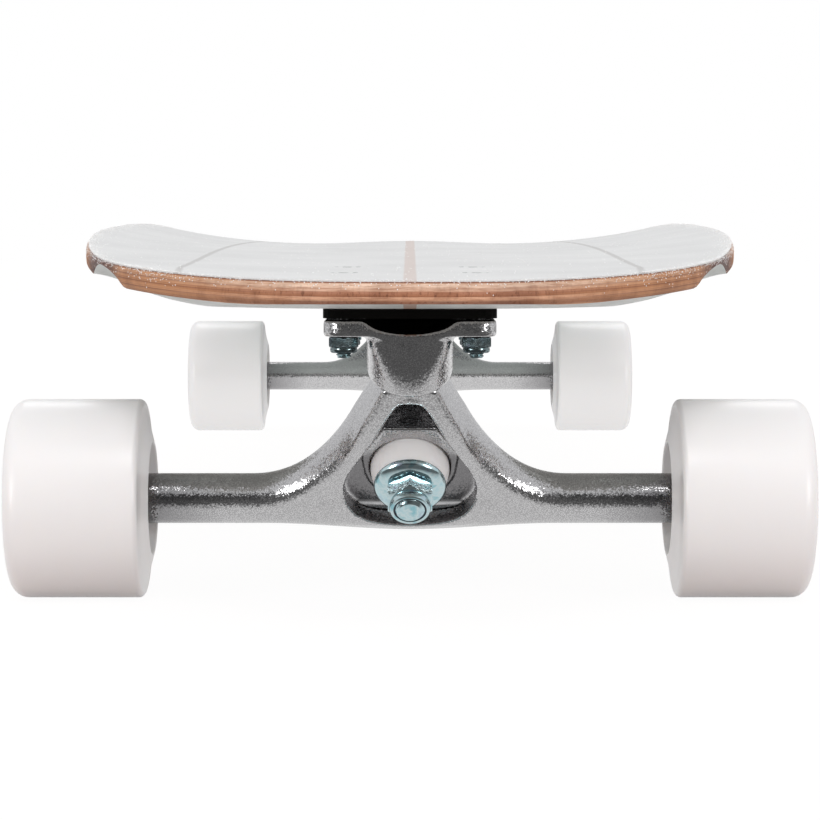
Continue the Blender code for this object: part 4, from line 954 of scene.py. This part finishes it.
BOLT_RADIUS, BOLT_HEAD, BOLT_DEPTH, BOLT_LENGTH = 0.0024, 0.0047, 0.0026, 0.0266
NUT_FLATS, NUT_HEIGHT = 0.0091, 0.0050
BOLT_THREAD_TOP, BOLT_PITCH = 0.0100 - BOLT_LENGTH, 0.0008
# The deck nuts get a copy of the zinc at a third of its brightness: painted shade for their place
# under the baseplate.
ZINC, SHADED_ZINC = zinc_finish("blue_zinc", 1.0), zinc_finish("shaded_zinc", 0.34)
BOLT_STEEL = bolt_finish()

bolt_profile = [(0, -0.0014), (0.0009, -0.0012), (0.0016, -0.0002), (0.0030, 0),
                (BOLT_HEAD - 0.0002, 0), (BOLT_HEAD, -0.0003), (BOLT_RADIUS, -BOLT_DEPTH),
                (BOLT_RADIUS, BOLT_THREAD_TOP)]
bolt_profile += threaded(BOLT_RADIUS, 0.0006 - BOLT_LENGTH, BOLT_THREAD_TOP, BOLT_PITCH)[::-1]
bolt_profile += [(BOLT_RADIUS - 0.0005, -BOLT_LENGTH), (0, -BOLT_LENGTH)]
bolt_mesh = turned("bolt_mesh", bolt_profile, 24, ring=False,
                   thread=(0.0004 - BOLT_LENGTH, 0.0101 - BOLT_LENGTH, BOLT_PITCH, 0.0004))
deck_nut_mesh = lock_nut_mesh("deck_nut_mesh", NUT_FLATS, NUT_HEIGHT, BOLT_RADIUS + 0.0001)
bolt_heads, nut_faces = [], []
for end in (-1, 1):
    for row in BOLT_ROWS:
        for across in (1, -1):
            x, y = across * BOLT_HALF_SPACING, end * (AXLE_Y + row)
            bolt_heads.append((x, y, deck_top(x, y) + GRIP_HIGH))
            nut_faces.append((x, y, AXLE_HEIGHT + PLATE_TOP - PLATE_THICKNESS - 0.0002))
bolt_nodes = [f"{end}_deck_bolt_{n}" for end in ENDS for n in (1, 2, 3, 4)]
nut_nodes = [f"{end}_deck_nut_{n}" for end in ENDS for n in (1, 2, 3, 4)]
show("deck_bolts_set", repeated("deck_bolts", bolt_mesh, bolt_heads, BOLT_STEEL), "board",
     "black_steel", BOLT_STEEL, *bolt_nodes)
show("deck_lock_nuts", repeated("deck_nuts", deck_nut_mesh, nut_faces, SHADED_ZINC, (math.pi, 0, 0)),
     "board", "zinc", SHADED_ZINC, *nut_nodes)

# Kingpin stacks: a zinc-plated kingpin from the boss down through a dark barrel bushing, the
# hanger's ring, a white cone bushing, a cup washer and a lock nut that squeezes them.

PIN_RADIUS, PIN_END, PIN_PITCH, PIN_THREAD_TOP = 0.00475, -0.0274, 0.0011, -0.0159
PIN_FLATS, PIN_HEAD_TOP, PIN_NUT_HEIGHT = 0.0142, 0.0493, 0.0086
ROAD_WASHER_FACE, PIN_NUT_FACE, BOARD_WASHER_FACE = -0.0175, -0.0178, 0.0187
BUSHING_GAP, BUSHING_BORE = 0.0003, 0.0052
CONE_BENDS_FROM, BARREL_BENDS_FROM, BENDS_TO = 0.0115, 0.0125, 0.0025


def urethane_finish(name, colour):
    """Cast urethane, which light enters a little way."""
    finish = Finish(name, colour, 0.32)
    finish.shader.inputs["Subsurface Weight"].default_value = 0.12
    finish.shader.inputs["Subsurface Radius"].default_value = (0.006, 0.005, 0.004)
    finish.shader.inputs["Subsurface Scale"].default_value = 1.0
    finish.bump(finish.noise(0.004, 3), 0.00006, 0.3)
    return finish.material


def moulded_finish(name, colour, roughness):
    """Plastic or rubber as it leaves its mould, a little uneven."""
    finish = Finish(name, colour, roughness)
    finish.bump(finish.noise(0.002, 2), 0.00005, 0.3)
    return finish.material


WHITE_URETHANE = urethane_finish("white_urethane_cast", (0.88, 0.865, 0.86))
DARK_URETHANE = moulded_finish("dark_urethane_cast", (0.018, 0.018, 0.02), 0.38)
NYLON = Finish("nylon_insert", (0.03, 0.04, 0.06), 0.45).material


def arc(centre, radius, start, stop, steps=6):
    """(radius, height) points round a quarter or so, in degrees."""
    points = []
    for step in range(steps + 1):
        angle = math.radians(start + (stop - start) * step / steps)
        points.append((centre[0] + radius * math.cos(angle), centre[1] + radius * math.sin(angle)))
    return points


washer_profile = [(0.0050, 0.0), (0.0078, 0.0), (0.0092, 0.00015), (0.0104, 0.0006),
                  (0.0112, 0.0013), (0.0116, 0.0021), *arc((0.01125, 0.0025), 0.00035, 0, 180),
                  (0.01088, 0.0022), (0.0100, 0.0016), (0.0050, 0.0016)]
washer_mesh = turned("cup_washer_mesh", washer_profile, 72)
pin_nut_mesh = lock_nut_mesh("kingpin_nut_mesh", PIN_FLATS, PIN_NUT_HEIGHT, PIN_RADIUS + 0.0001)
insert_profile = [(0.0048, 0.0074), (0.0054, 0.0074), (0.0054, 0.0082), (0.0048, 0.0082)]
insert_mesh = turned("insert_mesh", insert_profile, 48)
pin_profile = [(0, PIN_END + 0.0002), (0.0030, PIN_END), (PIN_RADIUS - 0.0010, PIN_END + 0.0001),
               (PIN_RADIUS - 0.0004, PIN_END + 0.0006)]
pin_profile += threaded(PIN_RADIUS, PIN_END + 0.0009, -0.0160, PIN_PITCH)
pin_profile += [(PIN_RADIUS, PIN_THREAD_TOP), (PIN_RADIUS, HEAD_SEAT + 0.0003)]
pin_profile += bend((0.0068, HEAD_SEAT + 0.0003), (0.0082, HEAD_SEAT + 0.0010),
                    (0.0082, 0.0482, True), (0.0068, PIN_HEAD_TOP), (0, PIN_HEAD_TOP))
pin_mesh = turned("kingpin_mesh", pin_profile, 72, ring=False,
                  flats=(PIN_FLATS, HEAD_SEAT, PIN_HEAD_TOP),
                  thread=(PIN_END + 0.0008, PIN_THREAD_TOP, PIN_PITCH, 0.0005))


def bushing_mesh(name, sides, top):
    """A turned bushing: its bore, a wide rounded foot, the points of its side and a rounded top."""
    foot = [(BUSHING_BORE, 0), *arc((0.0119, 0.0008), 0.0008, -90, 0, 4)]
    head = [*arc((0.0098, top - 0.0008), 0.0008, 15, 90, 4), (BUSHING_BORE, top)]
    return turned(name, [*foot, *sides, *head], 72)


cone_sides = [(0.0127, 0.0055), (0.01245, 0.0070), (0.0117, 0.0100)]
cone_mesh = bushing_mesh("cone_bushing_mesh", cone_sides, 0.0128)
barrel_mesh = bushing_mesh("barrel_bushing_mesh", [(0.0127, 0.0055), (0.0126, 0.0100)], 0.0140)
cup_profile = [(0.0073, 0.0350), (0.0098, 0.0350), (0.0100, 0.0352), (0.0100, 0.0361),
               (0.0080, 0.0361), (0.0080, 0.0471), (0, 0.0471), (0, 0.0451), (0.0048, 0.0451),
               (0.0065, 0.0430)]
cup_mesh = turned("pivot_cup_mesh", cup_profile, 48)
DOWN = Matrix.Rotation(math.pi, 4, "X")
ALONG_Y = Matrix.Rotation(math.radians(-90), 4, "X")


def up(height):
    return Matrix.Translation((0, 0, height))


for end in ENDS:
    stack, hanger = TRUCK[end] @ STEER, end + "_hanger_body"
    nut, near, far = up(PIN_NUT_FACE) @ DOWN, up(ROAD_WASHER_FACE), up(BOARD_WASHER_FACE) @ DOWN
    for name, mesh, slot, finish, place, node in (
        ("kingpin_bolt", pin_mesh, "zinc", ZINC, Matrix(), "kingpin"),
        ("kingpin_lock_nut", pin_nut_mesh, "zinc", ZINC, nut, "kingpin_nut"),
        ("kingpin_nut_insert", insert_mesh, "dark_urethane", NYLON, nut, None),
        ("roadside_cup", washer_mesh, "zinc", ZINC, near, "roadside_washer"),
        ("boardside_cup", washer_mesh, "zinc", ZINC, far, "boardside_washer"),
    ):
        nodes = [f"{end}_{node}"] if node else []
        show(f"{end}_{name}", mesh, "board", slot, finish, *nodes, place=stack @ place)
    show(end + "_cone_bushing", cone_mesh, "board", "white_urethane", WHITE_URETHANE,
         end + "_roadside_bushing", place=stack @ up(-SEAT - BUSHING_GAP) @ DOWN,
         bends=(hanger, CONE_BENDS_FROM, BENDS_TO))
    show(end + "_barrel_bushing", barrel_mesh, "board", "dark_urethane", DARK_URETHANE,
         end + "_boardside_bushing", place=stack @ up(SEAT + BUSHING_GAP),
         bends=(hanger, BARREL_BENDS_FROM, BENDS_TO))
    show(end + "_pivot_cup_moulding", cup_mesh, "board", "dark_urethane", DARK_URETHANE,
         end + "_pivot_cup", place=stack @ ALONG_Y)

# Axles: ground steel rods pressed through the hangers, threaded at both ends, with a speed washer
# on each side of each wheel, a spacer between its bearings and a lock nut outside it.

AXLE_RADIUS, AXLE_PITCH, WHEEL_CENTRE = 0.0040, 0.0010, 0.1036
BEARING_START, BEARING_STOP, SPEED_WASHER, WASHER_GAP = 0.0050, 0.0120, 0.0010, 0.0003
AXLE_NUT_FLATS, AXLE_NUT_HEIGHT, AXLE_NUT_START = 0.0127, 0.0065, 0.0136
AXLE_HALF = WHEEL_CENTRE + AXLE_NUT_START + AXLE_NUT_HEIGHT + 0.0017


def steel_finish():
    finish = Finish("ground_steel", (0.55, 0.55, 0.56), 0.24, 1.0)
    finish.uneven(finish.noise(0.002, 3), 0.18, 0.32)
    return finish.material


STEEL = steel_finish()
half_axle = [(AXLE_RADIUS, 0), (AXLE_RADIUS, 0.0860)]
half_axle += threaded(AXLE_RADIUS, AXLE_HALF - 0.0120, AXLE_HALF - 0.0007, AXLE_PITCH)
half_axle += [(AXLE_RADIUS - 0.0007, AXLE_HALF), (0, AXLE_HALF)]
axle_profile = [(r, -z) for r, z in reversed(half_axle)] + half_axle[1:]
axle_mesh = turned("axle_mesh", axle_profile, 32, ring=False,
                   thread=(AXLE_HALF - 0.0121, AXLE_HALF - 0.0006, AXLE_PITCH, 0.0005))
axle_nut_mesh = lock_nut_mesh("axle_nut_mesh", AXLE_NUT_FLATS, AXLE_NUT_HEIGHT,
                              AXLE_RADIUS + 0.0001)
speed_washer_profile = [(0.0042, 0), (0.0074, 0), (0.0077, 0.0002), (0.0077, 0.0009),
                        (0.0074, SPEED_WASHER), (0.0042, SPEED_WASHER)]
speed_washer_mesh = turned("speed_washer_mesh", speed_washer_profile, 48)
spacer_profile = [(0.0042, -0.0047), (0.0052, -0.0047), (0.0052, 0.0047), (0.0042, 0.0047)]
spacer_mesh = turned("spacer_mesh", spacer_profile, 32)
ALONG_X = Matrix.Rotation(math.radians(90), 4, "Y")

# Wheels: white urethane cast round a moulded hub, with a rounded tread, a recess in each face and
# a shielded ball bearing pressed into each end of the hub.

TREAD_RADIUS, CORE_HALF = 0.0325, 0.0123
tyre_profile = [
    (0.0172, -CORE_HALF), (0.0176, -CORE_HALF - 0.0006), (0.0180, -0.0184),
    *arc((0.0189, -0.0186), 0.0008, 180, 262, 4), (0.0240, -0.0180),
    *arc((0.0305, -0.0149), 0.0020, -112, -4, 8), (TREAD_RADIUS, -0.0110),
    *arc((0.0271, 0.0210), 0.0054, 0, 90, 12), (0.0232, 0.0262),
    *arc((0.0225, 0.0252), 0.0008, 90, 150, 4), (0.0180, CORE_HALF + 0.0010), (0.0172, CORE_HALF),
]
tyre_mesh = turned("tyre_mesh", tyre_profile, 128)


def core_field(x, y, z):
    """A hub of two rings with ten ribs between them, and a bearing seat in each end."""
    radius = np.hypot(x, y)
    fold = (np.arctan2(y, x) + math.pi / 10) % (math.pi / 5) - math.pi / 10
    body = common(np.abs(radius - 0.0128) - 0.0042, np.abs(z) - CORE_HALF, 0.0006)
    rib = 0.0009 - radius * np.abs(np.sin(fold))
    pocket = common(np.abs(radius - 0.0140) - 0.0016, 0.0080 - np.abs(z), 0.0004)
    pocket = common(pocket, rib, 0.0005)
    body = cut(body, pocket, 0.0004)
    seats = common(radius - 0.0111, 0.0049 - np.abs(z), 0.0002)
    return cut(body, seats, 0.0003)


core_corner = (0.0178, 0.0178, 0.0131)
core_mesh = cast("core_mesh", core_field, tuple(-side for side in core_corner), core_corner, 0.0006)
CORE = moulded_finish("moulded_nylon", (0.62, 0.62, 0.61), 0.4)
bearing_face = [(0.0041, 0), (0.0061, 0), (0.0061, 0.0004), (0.0063, 0.0004), (0.0066, 0.0003),
                (0.0088, 0.0003), (0.0091, 0.0005), (0.0095, 0.0005), (0.0095, 0), (0.0107, 0),
                (0.0110, 0.0003)]
bearing_back = [(radius, BEARING_STOP - BEARING_START - height) for radius, height in bearing_face]
bearing_mesh = turned("bearing_mesh", bearing_face + bearing_back[::-1], 64)
for end in ENDS:
    carrier = end + "_hanger_body"
    show(end + "_axle_rod", axle_mesh, carrier, "steel", STEEL, end + "_axle",
         place=TRUCK[end] @ ALONG_X)
    for side in ("left", "right"):
        turn = 1 if (side == "left") == (end == "rear") else -1
        wheel = TRUCK[end] @ Matrix.Translation((turn * WHEEL_CENTRE, 0, 0))
        wheel = wheel @ Matrix.Rotation(turn * math.pi / 2, 4, "Y")
        name, body = f"{end}_{side}", f"{end}_{side}_wheel"
        show(name + "_wheel_tyre", tyre_mesh, body, "white_urethane", WHITE_URETHANE,
             name + "_tyre", place=wheel)
        show(name + "_wheel_core", core_mesh, body, "core", CORE, name + "_core", place=wheel,
             angle=0)
        show(name + "_bearing_in", bearing_mesh, body, "steel", STEEL, name + "_inner_bearing",
             place=wheel @ up(-BEARING_STOP))
        show(name + "_bearing_out", bearing_mesh, body, "steel", STEEL, name + "_outer_bearing",
             place=wheel @ up(BEARING_START))
        show(name + "_axle_lock_nut", axle_nut_mesh, carrier, "zinc", ZINC, name + "_axle_nut",
             place=wheel @ up(AXLE_NUT_START))
        show(name + "_bearing_spacer", spacer_mesh, carrier, "steel", STEEL, place=wheel)
        inner, outer = -BEARING_STOP - SPEED_WASHER - WASHER_GAP, BEARING_STOP + WASHER_GAP
        for where, start in (("inner", inner), ("outer", outer)):
            show(f"{name}_{where}_speed_washer", speed_washer_mesh, carrier, "steel", STEEL,
                 place=wheel @ up(start))

# The photograph's place: a pale floor, a white room that is dark behind the camera, softboxes above
# and beside it, and the camera low in front of the board, on its middle line.

FLOOR_HALF, FLOOR_NEAR, FLOOR_FAR = 6, -4, 8
WHITE_FLOOR, FLOOR_COVER, GLOW_FROM = 1.08, 0.88, -0.450
DARKEST, LIGHTER = 0.07, 0.73
CAMERA_PLACE, CAMERA_DOWN, CAMERA_LENS = (0, -1.2746, 0.1217135), 3.821, 121.546

floor_mesh = bpy.data.meshes.new("floor")
corners = [(-FLOOR_HALF, FLOOR_NEAR, 0), (FLOOR_HALF, FLOOR_NEAR, 0),
           (FLOOR_HALF, FLOOR_FAR, 0), (-FLOOR_HALF, FLOOR_FAR, 0)]
floor_mesh.from_pydata(corners, [], [(0, 1, 2, 3)])
floor = placed("floor", floor_mesh)
# The floor is painted light where the camera does not see it: to reflections it glows dim just in
# front of the board and bright under it, and to bounced light it glows under the rear truck, which
# lights the rear wheels from below.
paper = Finish("floor_paper", (0.62, 0.55, 0.53), 1.0)
paper.shader.inputs["Specular IOR Level"].default_value = 0.0
away_from_camera = paper.maths("SUBTRACT", paper.axes()["Y"], GLOW_FROM)
glow = paper.ramp(away_from_camera, [
    (0.0, 0.14), (0.020, 0.50), (0.040, 0.82), (0.40, 1.0), (0.85, 1.0), (0.95, 0.3)])
rays = paper.node("LightPath").outputs
seen = paper.maths("ADD", rays["Is Camera Ray"], rays["Is Transmission Ray"])
rear = paper.ramp(paper.axes()["Y"], [
    (0.0, 0.0), (0.15, 0.6), (0.28, 0.9), (0.60, 0.9), (0.75, 0.0)])
bounce = paper.times(rays["Is Diffuse Ray"], rear)
strength = paper.maths("MULTIPLY_ADD", rays["Is Glossy Ray"], glow, bounce)
strength = paper.maths("MULTIPLY_ADD", seen, WHITE_FLOOR, strength)
shine = paper.node("Emission", {"Color": (1, 1, 1, 1), "Strength": strength})
shine, matt = shine.outputs[0], paper.shader.outputs[0]
share = paper.maths("ADD", rays["Is Glossy Ray"], bounce)
share = paper.maths("MULTIPLY_ADD", seen, FLOOR_COVER, share)
mixed = paper.node("MixShader", {0: share, 1: matt, 2: shine})
below = paper.node("NewGeometry").outputs["Backfacing"]
clear = paper.node("BsdfTransparent")
sheet = paper.node("MixShader", {0: below, 1: mixed.outputs[0], 2: clear.outputs[0]})
paper.tree.links.new(sheet.outputs[0], paper.tree.nodes["Material Output"].inputs["Surface"])
floor_mesh.materials.append(paper.material)

world = bpy.data.worlds.new("studio")
world.use_nodes = True
bpy.context.scene.world = world
room = Pattern(world.node_tree, "Generated")
heading = room.axes()
beside = room.ramp(room.away("X"), [(0.30, 0.0), (0.60, 1.0)])
above = room.ramp(heading["Z"], [(0.30, 0.0), (0.50, 1.0)])
behind = room.ramp(room.maths("MULTIPLY_ADD", heading["Y"], 0.5, 0.5), [(0.30, 0.0), (0.55, 1.0)])
open_side = room.maths("MAXIMUM", room.maths("MAXIMUM", beside, above), behind)
level = room.maths("MULTIPLY_ADD", open_side, LIGHTER, DARKEST)
air = room.node("Background", {"Color": (0.98, 0.985, 1.0, 1), "Strength": level})
white = room.node("Background", {"Color": (1, 1, 1, 1), "Strength": 1.0})
rays = room.node("LightPath").outputs
seen = room.maths("ADD", rays["Is Camera Ray"], rays["Is Transmission Ray"])
blend = room.node("MixShader", {0: seen, 1: air.outputs[0], 2: white.outputs[0]})
room.tree.links.new(blend.outputs[0], room.tree.nodes["World Output"].inputs["Surface"])


def softbox(name, place, target, size, power):
    light = bpy.data.lights.new(name, "AREA")
    light.shape = "RECTANGLE"
    light.size, light.size_y = size
    light.energy = power
    lamp = placed(name, light)
    lamp.location = place
    lamp.rotation_euler = (Vector(target) - Vector(place)).to_track_quat("-Z", "Y").to_euler()


softbox("front_softbox", (0, -1.5, 1.5), (0, -0.3, 0.05), (0.40, 0.45), 5)
softbox("left_softbox", (-2.2, -2.4, 0.6), (0, -0.1, 0.05), (0.9, 1.0), 23)
softbox("right_softbox", (2.2, -2.4, 0.6), (0, -0.1, 0.05), (0.9, 1.0), 23)
softbox("back_softbox", (0, 1.6, 1.4), (0, 0.3, 0.05), (1.4, 0.6), 6)

camera = bpy.data.cameras.new("camera")
camera.sensor_width, camera.lens = 36, CAMERA_LENS
view = placed("camera", camera)
view.location = CAMERA_PLACE
view.rotation_euler = (math.radians(90 - CAMERA_DOWN), 0, 0)
bpy.context.scene.camera = view
bpy.context.scene.view_settings.view_transform = "Standard"
